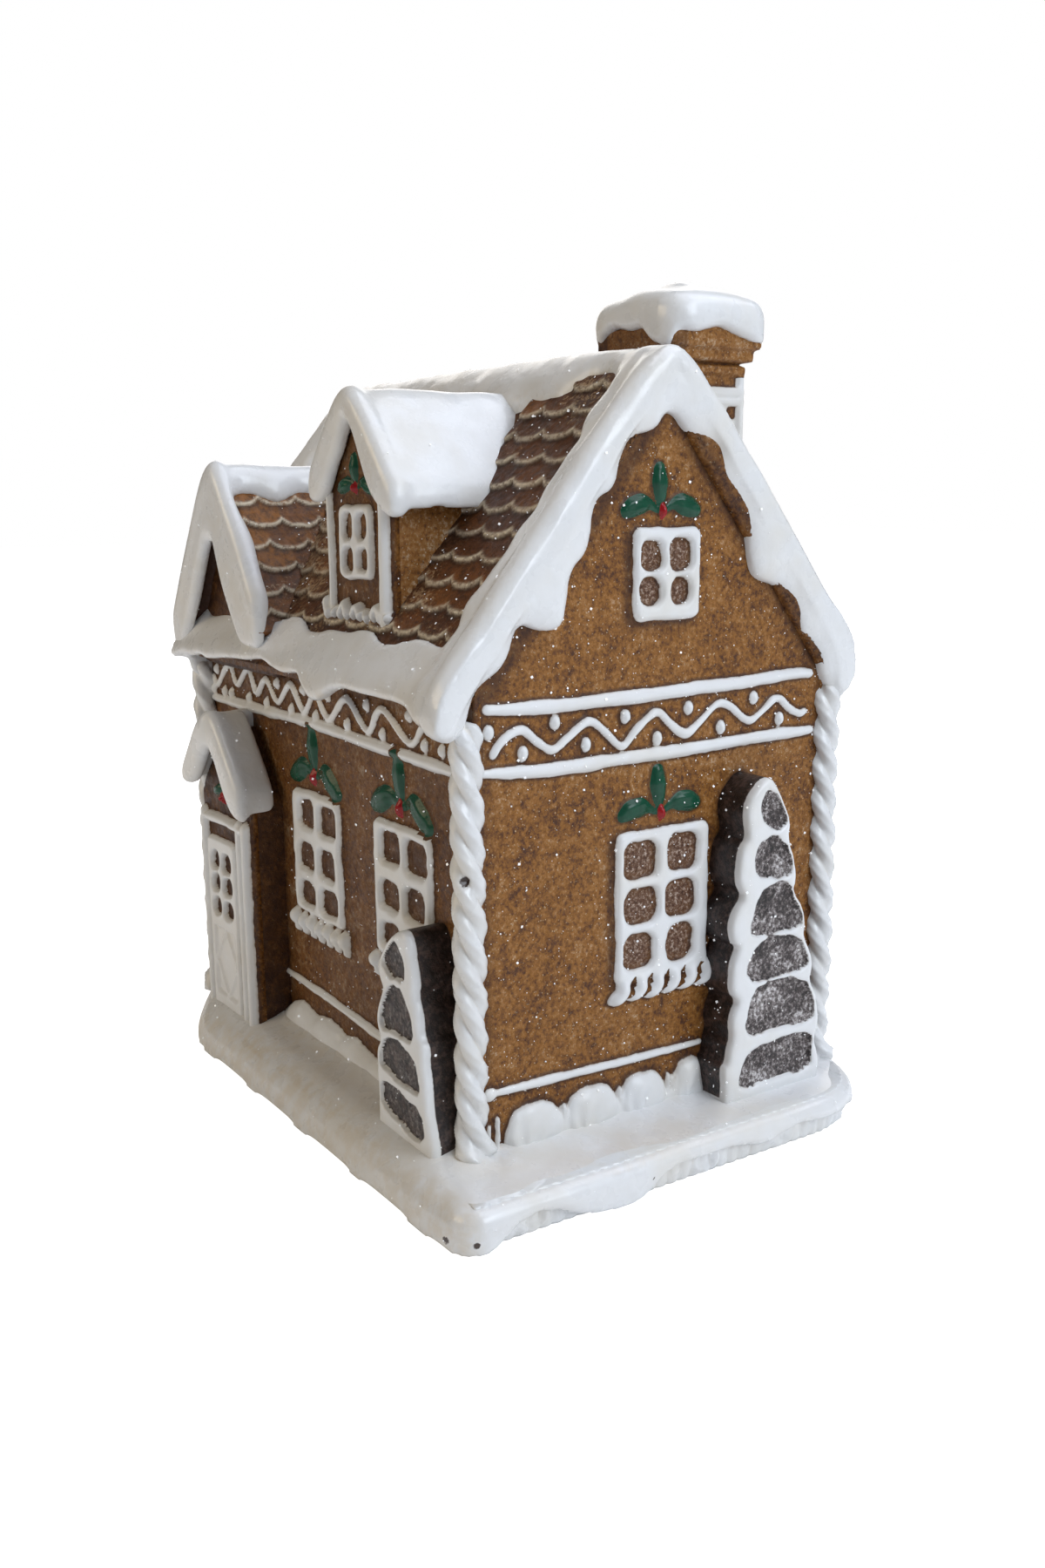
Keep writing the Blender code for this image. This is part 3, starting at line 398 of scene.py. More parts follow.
    def mesh(s, name, fr, mask, material, back=-1.2):
        def thin(a):
            k = np.array([0.25, 0.5, 0.25], f4)
            p = np.pad(a, 1, mode="edge")
            b = k[0] * p[:-2] + k[1] * p[1:-1] + k[2] * p[2:]
            b = k[0] * b[:, :-2] + k[1] * b[:, 1:-1] + k[2] * b[:, 2:]
            return b[::2, ::2]
        U, V = np.meshgrid(s.fu[::2], s.fv[::2], indexing="ij")
        H = thin(s.H)
        m = mask((U[:-1, :-1] + U[1:, 1:]) / 2, (V[:-1, :-1] + V[1:, 1:]) / 2)
        n = U.shape[1]
        i, j = np.nonzero(m)
        a = i * n + j
        Q = np.stack([a, a + n, a + n + 1, a + 1], 1)
        P = place(fr, U.ravel(), V.ravel(), H.ravel())
        vals = {k: np.clip(1 - thin(v), 0, 2).ravel() for k, v in s.L.items()}
        vals.update({k: thin(v).ravel() for k, v in s.A.items()})
        # rim down to the back, and the back as one face
        edges = {}
        for x, y in ((0, 1), (1, 2), (2, 3), (3, 0)):
            for p, q in zip(Q[:, x].tolist(), Q[:, y].tolist()):
                if (q, p) in edges:
                    del edges[(q, p)]
                else:
                    edges[(p, q)] = 1
        nxt = {p: q for p, q in edges}
        used = np.unique(Q)
        remap = np.full(P.shape[0], -1)
        remap[used] = np.arange(len(used))
        rim = {p: len(used) + k for k, p in enumerate(nxt)}
        ids = np.array(list(nxt))
        low = place(fr, U.ravel()[ids], V.ravel()[ids], np.full(len(ids), back))
        P2 = np.vstack([P[used], low])
        vals = {k: np.concatenate([v[used], v[ids] * 0]) for k, v in vals.items()}
        Q2 = remap[Q].tolist()
        for p, q in nxt.items():
            Q2.append([remap[q], remap[p], rim[p], rim[q]])
        ngons = []
        left = set(nxt)
        while left:
            p = start = next(iter(left))
            loop = []
            while p in left:
                left.discard(p)
                loop.append(rim[p])
                p = nxt[p]
            if p == start and len(loop) > 2:
                ngons.append(loop[::-1])
        return mesh_object(name, P2, np.array(Q2), material, vals, ngons=ngons)


# ------------------------------------------------------------------ materials
class Nodes:
    """Small helper to wire a Principled material."""

    def __init__(s, name, roughness=0.45, coat=0.0, coat_rough=0.1, specular=0.5):
        s.m = bpy.data.materials.new(name)
        s.m.use_nodes = True
        s.t = s.m.node_tree
        s.b = s.t.nodes["Principled BSDF"]
        s.b.inputs["Roughness"].default_value = roughness
        s.b.inputs["Coat Weight"].default_value = coat
        s.b.inputs["Coat Roughness"].default_value = coat_rough
        s.b.inputs["Specular IOR Level"].default_value = specular
        s.co = s.t.nodes.new("ShaderNodeTexCoord").outputs["Object"]

    def put(s, socket, v):
        if isinstance(v, bpy.types.NodeSocket):
            s.t.links.new(v, socket)
        elif isinstance(v, (tuple, list)) and len(v) == 3 and socket.type == "RGBA":
            socket.default_value = (*v, 1.0)
        else:
            socket.default_value = v

    def attr(s, name):
        n = s.t.nodes.new("ShaderNodeAttribute")
        n.attribute_name = name
        return n.outputs["Fac"]

    def noise(s, mm, detail=2.0, rough=0.5, dist=0.0, offset=None):
        n = s.t.nodes.new("ShaderNodeTexNoise")
        n.inputs["Scale"].default_value = 1000.0 / mm
        n.inputs["Detail"].default_value = detail
        n.inputs["Roughness"].default_value = rough
        n.inputs["Distortion"].default_value = dist
        co = s.co
        if offset is not None:
            v = s.t.nodes.new("ShaderNodeVectorMath")
            v.operation = "ADD"
            v.inputs[1].default_value = offset
            s.t.links.new(co, v.inputs[0])
            co = v.outputs[0]
        s.t.links.new(co, n.inputs["Vector"])
        return n.outputs["Fac"]

    def cells(s, mm, feature="F1"):
        n = s.t.nodes.new("ShaderNodeTexVoronoi")
        n.feature = feature
        n.inputs["Scale"].default_value = 1000.0 / mm
        s.t.links.new(s.co, n.inputs["Vector"])
        return n

    def math(s, op, a, b=0.0, c=0.0, clamp=False):
        n = s.t.nodes.new("ShaderNodeMath")
        n.operation = op
        n.use_clamp = clamp
        for i, v in enumerate((a, b, c)):
            s.put(n.inputs[i], v)
        return n.outputs[0]

    def step(s, v, lo, hi, out0=0.0, out1=1.0):
        n = s.t.nodes.new("ShaderNodeMapRange")
        n.interpolation_type = "SMOOTHSTEP"
        s.put(n.inputs["Value"], v)
        for k, x in (("From Min", lo), ("From Max", hi), ("To Min", out0), ("To Max", out1)):
            n.inputs[k].default_value = x
        return n.outputs["Result"]

    def mix(s, f, a, b, blend="MIX"):
        n = s.t.nodes.new("ShaderNodeMix")
        n.data_type = "RGBA"
        n.blend_type = blend
        s.put(n.inputs[0], f)
        s.put(n.inputs[6], a)
        s.put(n.inputs[7], b)
        return n.outputs[2]

    def mixf(s, f, a, b):
        n = s.t.nodes.new("ShaderNodeMix")
        n.data_type = "FLOAT"
        s.put(n.inputs[0], f)
        s.put(n.inputs[2], a)
        s.put(n.inputs[3], b)
        return n.outputs[0]

    def ramp(s, v, stops):
        n = s.t.nodes.new("ShaderNodeValToRGB")
        s.put(n.inputs[0], v)
        e = n.color_ramp.elements
        while len(e) < len(stops):
            e.new(0.5)
        for x, (p, c) in zip(e, stops):
            x.position, x.color = p, (*c, 1.0)
        return n.outputs[0]

    def bump(s, height, mm, strength=1.0):
        n = s.t.nodes.new("ShaderNodeBump")
        n.inputs["Strength"].default_value = strength
        n.inputs["Distance"].default_value = mm / 1000
        s.t.links.new(height, n.inputs["Height"])
        s.t.links.new(n.outputs[0], s.b.inputs["Normal"])

    def done(s, color, rough=None):
        s.put(s.b.inputs["Base Color"], color)
        if rough is not None:
            s.put(s.b.inputs["Roughness"], rough)
        return s.m


WHITE = (0.80, 0.81, 0.82)
CREAM = (0.74, 0.70, 0.62)


def white_paint(n, edge_dark=None):
    """Glossy white: clean, a little cream in broad patches, grey-brown towards the edge of the paint where the edge
    mask is high.
    """
    patch = n.step(n.noise(16.0, 3.0, 0.6), 0.42, 0.72, 0.0, 0.55)
    c = n.mix(patch, WHITE, CREAM)
    fine = n.step(n.noise(2.4, 3.0, 0.6), 0.35, 0.75, 0.0, 0.10)
    c = n.mix(fine, c, (0.62, 0.60, 0.57))
    # grey-brown at the edge of the white paint
    if edge_dark is not None:
        c = n.mix(edge_dark, c, (0.33, 0.25, 0.18))
    return c


def make_gingerbread(name="painted_gingerbread"):
    """Golden-brown satin paint, mottled and frosted with fine glitter; piping, leaves, berries, dark wash and painted
    shade follow the point values.
    """
    n = Nodes(name, 0.5, coat=0.08, coat_rough=0.25, specular=0.28)
    icing = n.math("ADD", n.attr("icing"), n.math("MULTIPLY", n.math("SUBTRACT", n.noise(0.9, 2.0), 0.5), 0.16))
    fw = n.step(icing, 0.93, 1.02)
    fl = n.step(n.attr("leaf"), 0.90, 1.0)
    fb = n.step(n.attr("berry"), 0.88, 0.98)
    # a dark band just outside the piping and leaves: wash and painted shade in the crease at their foot
    crease = n.math("MULTIPLY", n.step(icing, 0.25, 0.93), 0.85)
    crease2 = n.math("MULTIPLY", n.step(n.attr("leaf"), 0.25, 0.9), 0.7)
    wash_and_shade = n.math("MAXIMUM", n.math("MAXIMUM", crease, crease2), n.attr("wash_and_shade"))
    wash_and_shade = n.math("MULTIPLY", wash_and_shade, n.step(n.noise(2.2, 3.0, 0.65), 0.25, 0.6, 0.6, 1.0), clamp=True)
    fine = n.noise(0.75, 3.0, 0.75)
    broad = n.math("MULTIPLY", n.math("SUBTRACT", n.noise(5.0, 4.0, 0.65), 0.5), 0.60)
    frosty = n.math("MULTIPLY", n.math("SUBTRACT", n.attr("frost"), 0.35), 0.13)
    v = n.math("ADD", n.math("ADD", fine, broad), frosty)
    base = n.ramp(v, [(0.30, (0.070, 0.026, 0.010)), (0.42, (0.180, 0.069, 0.013)), (0.54, (0.275, 0.114, 0.021)),
                      (0.65, (0.335, 0.160, 0.050)), (0.78, (0.50, 0.35, 0.22))])
    grain = n.step(n.cells(0.50).outputs["Distance"], 0.16, 0.34, 1.0, 0.0)
    pick = n.step(n.noise(0.62, 2.0, 0.6), 0.53, 0.60)
    frost = n.math("MULTIPLY", grain, pick, clamp=True)
    base = n.mix(n.math("MULTIPLY", frost, 0.7), base, (0.76, 0.54, 0.32))
    speck = n.math("MULTIPLY", n.step(n.noise(0.8, 2.0, 0.6, offset=(0.3, 0.1, 0.2)), 0.60, 0.68), 0.6)
    base = n.mix(speck, base, (0.075, 0.026, 0.012))
    # dark antiquing wash, together with painted shade on shaded faces, in creases and beside raised parts
    base = n.mix(wash_and_shade, base, (0.036, 0.012, 0.006))
    # window panes: brown with frost
    pane = n.ramp(n.noise(0.55, 3.0, 0.75), [(0.36, (0.050, 0.020, 0.012)), (0.52, (0.15, 0.075, 0.042)), (0.68, (0.52, 0.42, 0.35))])
    base = n.mix(n.math("MULTIPLY", n.attr("pane"), n.math("SUBTRACT", 1.0, n.math("MINIMUM", wash_and_shade, 0.9))), base, pane)
    white = white_paint(n, n.step(icing, 0.95, 1.22, 0.55, 0.0))
    c = n.mix(fw, base, white)
    green = n.mix(n.noise(1.5, 2.0), (0.004, 0.045, 0.024), (0.012, 0.090, 0.048))
    c = n.mix(fl, c, green)
    c = n.mix(fb, c, (0.32, 0.010, 0.014))
    painted = n.math("MAXIMUM", fw, n.math("MAXIMUM", fl, fb))
    rough = n.mixf(painted, n.step(n.noise(1.0, 3.0), 0.3, 0.7, 0.40, 0.66), 0.24)
    grit = n.math("ADD", n.math("MULTIPLY", n.noise(0.45, 3.0, 0.7), 0.6), n.math("MULTIPLY", frost, 0.8))
    height = n.mixf(painted, grit, n.math("MULTIPLY", n.noise(1.6, 2.0), 0.25))
    n.bump(height, 0.2, 0.9)
    return n.done(c, rough)


def make_snow(name="painted_snow"):
    n = Nodes(name, 0.3, coat=0.35, coat_rough=0.12)
    c = white_paint(n)
    # cream-tan: cream paint in patches on the base, and painted shade in grooves, at the foot of the roof snow and on
    # the shaded front of the base
    tan = n.math("MULTIPLY", n.attr("tan"), n.step(n.noise(3.0, 3.0, 0.6), 0.35, 0.65))
    c = n.mix(n.math("MINIMUM", tan, 1.0), c, (0.66, 0.58, 0.46))
    chip = n.math("ADD", n.attr("chip"), n.math("MULTIPLY", n.math("SUBTRACT", n.noise(0.5, 2.0), 0.5), 0.5))
    c = n.mix(n.step(chip, 0.55, 0.7), c, (0.055, 0.032, 0.024))
    rough = n.step(n.noise(4.0, 3.0), 0.3, 0.7, 0.20, 0.42)
    n.bump(n.math("ADD", n.noise(1.4, 2.0), n.math("MULTIPLY", n.noise(5.0, 2.0), 2.0)), 0.12, 0.55)
    return n.done(c, rough)


def make_tiles(name="painted_tiles"):
    n = Nodes(name, 0.5, coat=0.05, coat_rough=0.3, specular=0.26)
    tone = n.attr("tone")
    base = n.ramp(tone, [(0.0, (0.052, 0.018, 0.008)), (0.5, (0.145, 0.050, 0.013)), (1.0, (0.30, 0.115, 0.020))])
    base = n.mix(n.step(n.noise(1.3, 4.0, 0.7), 0.38, 0.68, 0.0, 0.7), base, (0.030, 0.012, 0.006))
    dusty = n.math("ADD", n.math("MULTIPLY", n.math("SUBTRACT", n.attr("frost"), 0.5), 0.34), n.noise(0.7, 3.0, 0.75))
    base = n.mix(n.step(dusty, 0.55, 0.72, 0.0, 0.75), base, (0.42, 0.28, 0.16))
    lip = n.math("MULTIPLY", n.math("MULTIPLY", n.attr("lip"), 1.45), n.step(n.noise(0.8, 3.0, 0.7), 0.30, 0.58, 0.25, 1.0))
    base = n.mix(n.math("MINIMUM", lip, 0.95), base, (0.80, 0.70, 0.54))
    # wash and painted shadow beside each tile lip
    base = n.mix(n.attr("wash_and_shade"), base, (0.014, 0.006, 0.004))
    n.bump(n.math("ADD", n.noise(0.5, 3.0, 0.7), n.math("MULTIPLY", dusty, 0.5)), 0.18, 0.9)
    return n.done(base, n.step(n.noise(1.2, 2.0), 0.3, 0.7, 0.40, 0.65))


def make_tree(name="painted_tree"):
    n = Nodes(name, 0.4, coat=0.2, coat_rough=0.15, specular=0.4)
    icing = n.math("ADD", n.attr("icing"), n.math("MULTIPLY", n.math("SUBTRACT", n.noise(0.8, 2.0), 0.5), 0.22))
    fw = n.step(icing, 0.93, 1.03)
    mott = n.math("ADD", n.noise(0.6, 3.0, 0.75), n.math("MULTIPLY", n.math("SUBTRACT", n.noise(4.0, 2.0), 0.5), 0.5))
    char = n.ramp(mott, [(0.32, (0.012, 0.009, 0.009)), (0.46, (0.060, 0.046, 0.044)), (0.57, (0.24, 0.21, 0.205)), (0.71, (0.68, 0.66, 0.66))])
    side = n.mix(n.step(n.noise(1.2, 3.0, 0.7), 0.42, 0.66), (0.012, 0.006, 0.005), (0.070, 0.042, 0.034))
    c = n.mix(n.attr("side"), char, side)
    c = n.mix(fw, c, white_paint(n, n.step(icing, 0.95, 1.2, 0.5, 0.0)))
    n.bump(n.mixf(fw, n.noise(0.45, 3.0, 0.7), n.math("MULTIPLY", n.noise(1.6, 2.0), 0.25)), 0.2, 0.9)
    return n.done(c, n.mixf(fw, 0.42, 0.24))


def make_glitter(name="glitter_flakes"):
    n = Nodes(name, 0.08, coat=0.6, coat_rough=0.03, specular=0.9)
    # painted sparkle: the flakes glow faintly
    n.b.inputs["Emission Color"].default_value = (0.92, 0.95, 1.0, 1.0)
    n.b.inputs["Emission Strength"].default_value = 0.35
    c = n.mix(n.step(n.noise(1.1, 1.0), 0.45, 0.55), (0.92, 0.93, 0.95), (0.80, 0.78, 0.74))
    return n.done(c, n.step(n.noise(0.9, 1.0), 0.3, 0.7, 0.04, 0.25))


M_GINGER = make_gingerbread()
M_SNOW = make_snow()
M_TILE = make_tiles()
M_TREE = make_tree()
M_GLIT = make_glitter()
S_BROWN, S_WHITE, S_GREEN, S_RED, S_GLIT = ("painted_resin_brown", "painted_resin_white", "painted_resin_green", "painted_resin_red", "clear_glitter")


# ------------------------------------------------------------------ wall ornament
def panes_grid(u0, u1, v0, v1, cols, rows, fw=1.8, bar=1.55, rng=None):
    pw = (u1 - u0 - 2 * fw - (cols - 1) * bar) / cols
    ph = (v1 - v0 - 2 * fw - (rows - 1) * bar) / rows
    out = []
    for i in range(cols):
        for j in range(rows):
            a, b = u0 + fw + i * (pw + bar), v0 + fw + j * (ph + bar)
            e = (rng.rand(4) - 0.5) * 0.5 if rng is not None else np.zeros(4)
            out.append((a + e[0], a + pw + e[1], b + e[2], b + ph + e[3]))
    return out


def piped(R, pts, r=0.95, proud=1.1, taper=True):
    P = curve(pts, 8)
    rad = np.full(len(P), r)
    if taper:
        k = min(6, len(P) // 3)
        rad[:k] *= np.linspace(0.72, 1, k)
        rad[-k:] *= np.linspace(1, 0.72, k)
    rad = rad * (1 + 0.10 * noise2(P[:, 0], P[:, 1], 4.0, R.seed + 8))
    R.stroke(P, rad, proud)


def paddle(R, pts, widths, proud=1.05):
    P = curve(pts, 6)
    R.stroke(P, np.interp(np.linspace(0, 1, len(P)), np.linspace(0, 1, len(widths)), widths), proud, "leaf", vein=True)


def holly(R, u, z, k=1.0, droop=0.0, berry=True):
    """Three fat leaves on short stems and a slim upright berry between them."""
    paddle(R, [(u - 0.1 * k, z + 1.0 * k), (u - 0.4 * k, z + 3.4 * k), (u - 0.5 * k, z + 6.4 * k)], [0.45 * k, 1.15 * k, 1.5 * k, 1.05 * k])
    paddle(R, [(u - 0.7 * k, z + 0.1 * k), (u - 2.8 * k, z + 1.2 * k), (u - 5.2 * k, z + (1.2 - droop) * k), (u - 7.0 * k, z + (0.4 - droop) * k)], [0.35 * k, 0.7 * k, 1.5 * k, 1.55 * k, 1.0 * k])
    paddle(R, [(u + 0.6 * k, z + 0.2 * k), (u + 2.8 * k, z + 1.3 * k), (u + 5.0 * k, z + (1.3 - 1.6 * droop) * k), (u + 6.8 * k, z + (0.8 - 2.2 * droop) * k)], [0.35 * k, 0.7 * k, 1.5 * k, 1.55 * k, 1.0 * k])
    if berry:
        R.blob(u, z + 0.1, 0.55 * k, 1.25 * k, 1.3, "berry")


def rope_sill(R, u0, u1, z, n=6, tilt=2.4):
    """Short fat strands side by side, leaning to the right, with a groove between neighbours darkened by wash and
    painted shade.
    """
    step = (u1 - u0) / n
    for i in range(n):
        u = u0 + step * (i + 0.5)
        w = 0.15 * noise2(u, z, 1.0, R.seed + 11)
        P = curve([(u - tilt * 0.62, z - 1.35 + w), (u + 0.15, z - 0.75), (u + tilt * 0.42, z + 1.35 + w)])
        R.stroke(P, np.interp(np.arange(len(P)), [0, 3, 9, 12], [0.55, 1.05, 1.25, 0.9]), 1.9)
    for i in range(1, n):
        u = u0 + step * i
        P = curve([(u - tilt * 0.55, z - 1.9), (u + 0.35, z - 0.6), (u + tilt * 0.42, z + 1.7)])
        sl, U, V = R.win(u - 3.5, u + 3.5, z - 3.0, z + 3.0)
        d, _, _ = line_sd(P, 0.01, U, V)
        cut = np.exp(-(d / 0.17) ** 2)
        R.H[sl] = R.H[sl] - 0.8 * cut * (R.H[sl] > 0.5)
        R.L["icing"][sl] = np.where(d < 0.08, 9.0, R.L["icing"][sl])
        # wash and painted shade in the groove
        R.A["wash_and_shade"][sl] = np.maximum(R.A["wash_and_shade"][sl], 0.9 * (d < 0.2))


def blob_sill(R, u0, u1, z, n=7):
    for i in range(n):
        u = u0 + (u1 - u0) * i / (n - 1)
        R.blob(u, z - 0.3 * (i % 2), 1.5, 1.5 + 0.25 * noise2(u, z, 1.0, 5), 1.9)
        R.blob(u + 0.5, z - 1.7, 0.8, 1.1, 1.3)


def shell_lace(R, lobes, ribs):
    """Half-round shells with faint curved ridges at the foot of a wall, and slim ribs between them."""
    z0 = GROUND - 0.9
    for ua, ub, top in lobes:
        u, a, b = (ua + ub) / 2, (ub - ua) / 2 + 0.35, top - z0
        sl, U, V = R.win(ua - 0.8, ub + 0.8, z0 - 1.5, top + 1.2)
        dx, dz = (U - u) / a, (V - z0) / b
        q = (np.abs(dx) ** 3.0 + np.maximum(dz, 0) ** 2.4) ** (1 / 2.7) + 0.03 * noise2(U, V, 1.2, R.seed + 13)
        ang = np.arctan2(np.maximum(V - z0 + 1.0, 0.01), (U - u) + 0.4 * a)
        t = np.clip(q, 0, 1)
        h = 1.7 * (1 - t ** 4.0) ** 0.5 * (1 + 0.10 * np.cos(ang * 8 + 2.2 * q))
        on = V > z0 - 1.2
        R.H[sl] = np.where((q < 1) & on, np.maximum(R.H[sl], h), R.H[sl])
        R.L["icing"][sl] = np.minimum(R.L["icing"][sl], np.where(on, (q - 1) * a * 0.8, 9.0))
    for u, top in ribs:
        R.stroke([(u, z0 - 0.8), (u + 0.1, top)], 0.42, 1.2)
    ua, ub = lobes[0][0] + 0.5, lobes[-1][1] - 0.5
    sl, U, V = R.win(ua - 1, ub + 1, z0 - 1.5, z0 + 5)
    q = np.maximum(np.maximum(ua - U, U - ub), V - z0 - 2.4 - 0.5 * np.sin(U * 1.9)) + 0.1 * noise2(U, V, 1.2, 15)
    t = np.clip(1 + q / 1.2, 0, 1)
    R.H[sl] = np.where(q < 0, np.maximum(R.H[sl], 1.2 * (1 - t ** 2.4) ** 0.6), R.H[sl])
    R.L["icing"][sl] = np.minimum(R.L["icing"][sl], q)


def band(R, u0, u1, zig, low_dots, high_dots, low, high):
    if high:
        piped(R, high)
    piped(R, low)
    P = curve(zig, 7)
    rad = 0.62 * (1 + 0.18 * noise2(P[:, 0], P[:, 1], 2.6, R.seed + 14))
    R.stroke(P, rad, 0.95)
    for u, v in low_dots:
        R.blob(u, v, 0.86, 1.12, 1.05)
    for u, v in high_dots:
        R.blob(u, v, 0.88, 1.08, 1.05)


GABLE_ZIG = [(-30.0, 64.3), (-28.4, 66.1), (-25.3, 67.3), (-22.7, 65.4), (-20.1, 64.0), (-17.5, 65.4), (-13.9, 67.4), (-11.2, 65.9), (-8.0, 63.2), (-5.4, 65.2), (-1.6, 67.6), (1.1, 65.6), (3.9, 63.9), (6.6, 65.3), (10.1, 67.8), (12.7, 67.2), (16.4, 64.7), (19.3, 65.9), (22.3, 67.7), (24.9, 66.0), (27.2, 64.8), (28.3, 65.1)]
FRONT_ZIG = [(-44.6, 66.4), (-42.7, 65.0), (-39.5, 67.6), (-36.2, 69.3), (-33.4, 65.9), (-28.2, 69.2), (-24.8, 65.3), (-20.6, 68.1), (-15.9, 64.7), (-10.5, 68.3), (-5.5, 64.2), (-1.2, 67.8), (3.6, 64.1), (10.1, 68.2), (16.9, 63.9), (21.6, 67.9), (29.9, 63.8), (34.1, 66.9), (39.0, 67.4), (43.8, 64.6)]


TREE_GABLE = [(16.3, 56.4), (18.5, 52.5), (20.0, 49.6), (19.5, 47.0), (21.1, 43.1), (21.5, 39.8), (20.9, 38.5), (23.2, 35.3), (23.8, 32.4), (23.4, 30.6), (25.1, 27.9), (25.7, 24.9), (25.0, 23.1), (26.8, 19.8), (27.4, 15.3), (26.4, 13.1), (27.6, 9.8), (27.8, 7.3), (26.9, 5.2), (7.6, 5.2), (7.5, 6.5), (7.6, 9.3), (7.4, 12.2), (8.3, 12.5), (8.5, 14.8), (9.3, 16.9), (8.8, 18.9), (9.2, 20.7), (10.2, 22.4), (8.8, 24.1), (8.6, 26.4), (9.0, 29.1), (10.1, 31.2), (8.9, 31.9), (8.3, 34.7), (9.0, 36.8), (11.0, 38.8), (9.6, 41.2), (9.7, 44.4), (10.2, 46.7), (11.6, 48.1), (10.9, 51.3), (11.2, 53.7), (13.0, 55.9), (15.1, 57.0)]
TREE_FRONT = [(38.8, 38.7), (39.9, 37.0), (40.2, 34.6), (41.1, 31.9), (40.5, 29.7), (41.8, 26.8), (41.9, 24.3), (43.4, 22.7), (43.1, 20.5), (43.8, 17.4), (44.0, 13.7), (45.0, 10.2), (45.7, 8.0), (45.2, 5.0), (29.4, 5.0), (29.3, 5.9), (29.5, 10.5), (29.3, 13.6), (29.2, 15.3), (29.2, 18.4), (30.6, 20.6), (29.4, 22.5), (29.6, 24.7), (31.8, 28.8), (31.2, 29.1), (30.4, 31.0), (31.3, 33.8), (33.8, 36.6), (36.8, 38.6)]


def gable_wall(name, fr, seed, tree):
    R = Relief(-33.2, 33.2, 5.0, 116.0, 0.40 if tree else 0.56, seed)
    U, V = R.all()
    R.H += 0.10 * noise2(U, V, 9.0, seed + 1) + 0.05 * noise2(U, V, 3.0, seed + 2)
    R.A["frost"] += 0.18 + 0.5 * np.exp(-((V - 60.0) / 2.2) ** 2) * (V < 61) + 0.35 * np.clip(noise2(U, V, 12.0, seed + 20), 0, 1)
    band(R, -31, 30, GABLE_ZIG, [(-25.1, 64.0), (-14.3, 64.1), (-1.4, 63.7), (10.9, 64.2), (22.9, 64.4)],
         [(-30.6, 67.4), (-19.7, 67.8), (-7.3, 67.5), (4.5, 67.7)],
         [(-31.7, 61.8), (-19.9, 61.2), (-7.3, 61.4), (6.2, 61.5), (18.2, 61.9), (29.8, 62.0)],
         [(-30.8, 70.5), (-19.9, 70.1), (-7.4, 70.2), (6.0, 70.5), (15.5, 70.7), (25.4, 71.2), (29.3, 71.0)])
    R.blob(17.5, 68.1, 0.88, 1.05, 0.9)
    R.window(-9.0, 8.6, 27.0, 50.3, [(-7.5, -1.15, 42.9, 48.7), (0.55, 6.6, 43.0, 49.0), (-7.4, -1.2, 35.9, 41.6), (0.2, 6.2, 36.0, 41.8), (-7.6, -1.9, 29.0, 34.6), (0.5, 5.9, 28.9, 34.8)], rp=1.9, ro=1.3, half=0.8)
    rope_sill(R, -9.9, 9.6, 26.2, 6)
    holly(R, -0.6, 52.4)
    R.window(-6.2, 6.0, 80.9, 94.1, [(-4.9, -0.9, 88.0, 92.5), (0.4, 4.4, 87.9, 92.6), (-5.0, -1.2, 83.0, 87.2), (0.7, 4.2, 83.2, 87.0)], ro=1.3, rp=1.6, half=0.8)
    holly(R, -0.9, 96.3, 0.93, 0.3)
    if tree:
        piped(R, [(-31.4, 15.4), (-18.0, 15.1), (-4.0, 14.7), (7.8, 14.5)], 0.64, 0.9)
        R.blob(-31.2, 15.3, 1.1, 1.0, 1.1)
        shell_lace(R, [(-28.6, -18.9, 12.2), (-18.2, -8.6, 12.3), (-7.9, 0.6, 12.2), (2.7, 8.2, 12.4)], [(-31.6, 10.6), (-30.2, 11.4), (-18.55, 10.4), (-8.25, 10.6), (1.2, 10.6), (2.1, 10.2)])
        # painted shadow of the tree: the wall darkens close to its outline
        near = poly_sd(np.array(TREE_GABLE), U[::2, ::2], V[::2, ::2])
        near = np.repeat(np.repeat(near, 2, 0), 2, 1)[:U.shape[0], :U.shape[1]]
        R.A["wash_and_shade"] = np.maximum(R.A["wash_and_shade"], 0.97 * np.exp(-np.clip(near, 0, 99) / 0.55))
    else:
        piped(R, [(-31.8, 14.6), (-12.0, 14.3), (12.0, 14.9), (31.8, 14.6)], 0.78, 0.95)
        shell_lace(R, [(-30.6 + 8.9 * i, -22.4 + 8.9 * i, 12.2) for i in range(7)], [(-31.4 + 8.9 * i, 10.8) for i in range(8)])
    # painted shade at the wall's sides beside the columns and under the roof
    edge = np.exp(-np.clip(31.6 - np.abs(U), 0, 99) / 0.9) * (V < 72)
    top = np.exp(-np.clip((RIDGE - PITCH * np.abs(U) - V) * COS - 5.4, 0, 99) / 1.0)
    R.A["wash_and_shade"] = np.maximum(R.A["wash_and_shade"], np.maximum(edge * 0.75, top * 0.8))
    return R.mesh(name, fr, lambda u, v: (np.abs(u) < 33.0) & (v < RIDGE - PITCH * np.abs(u) - 1.6), M_GINGER)


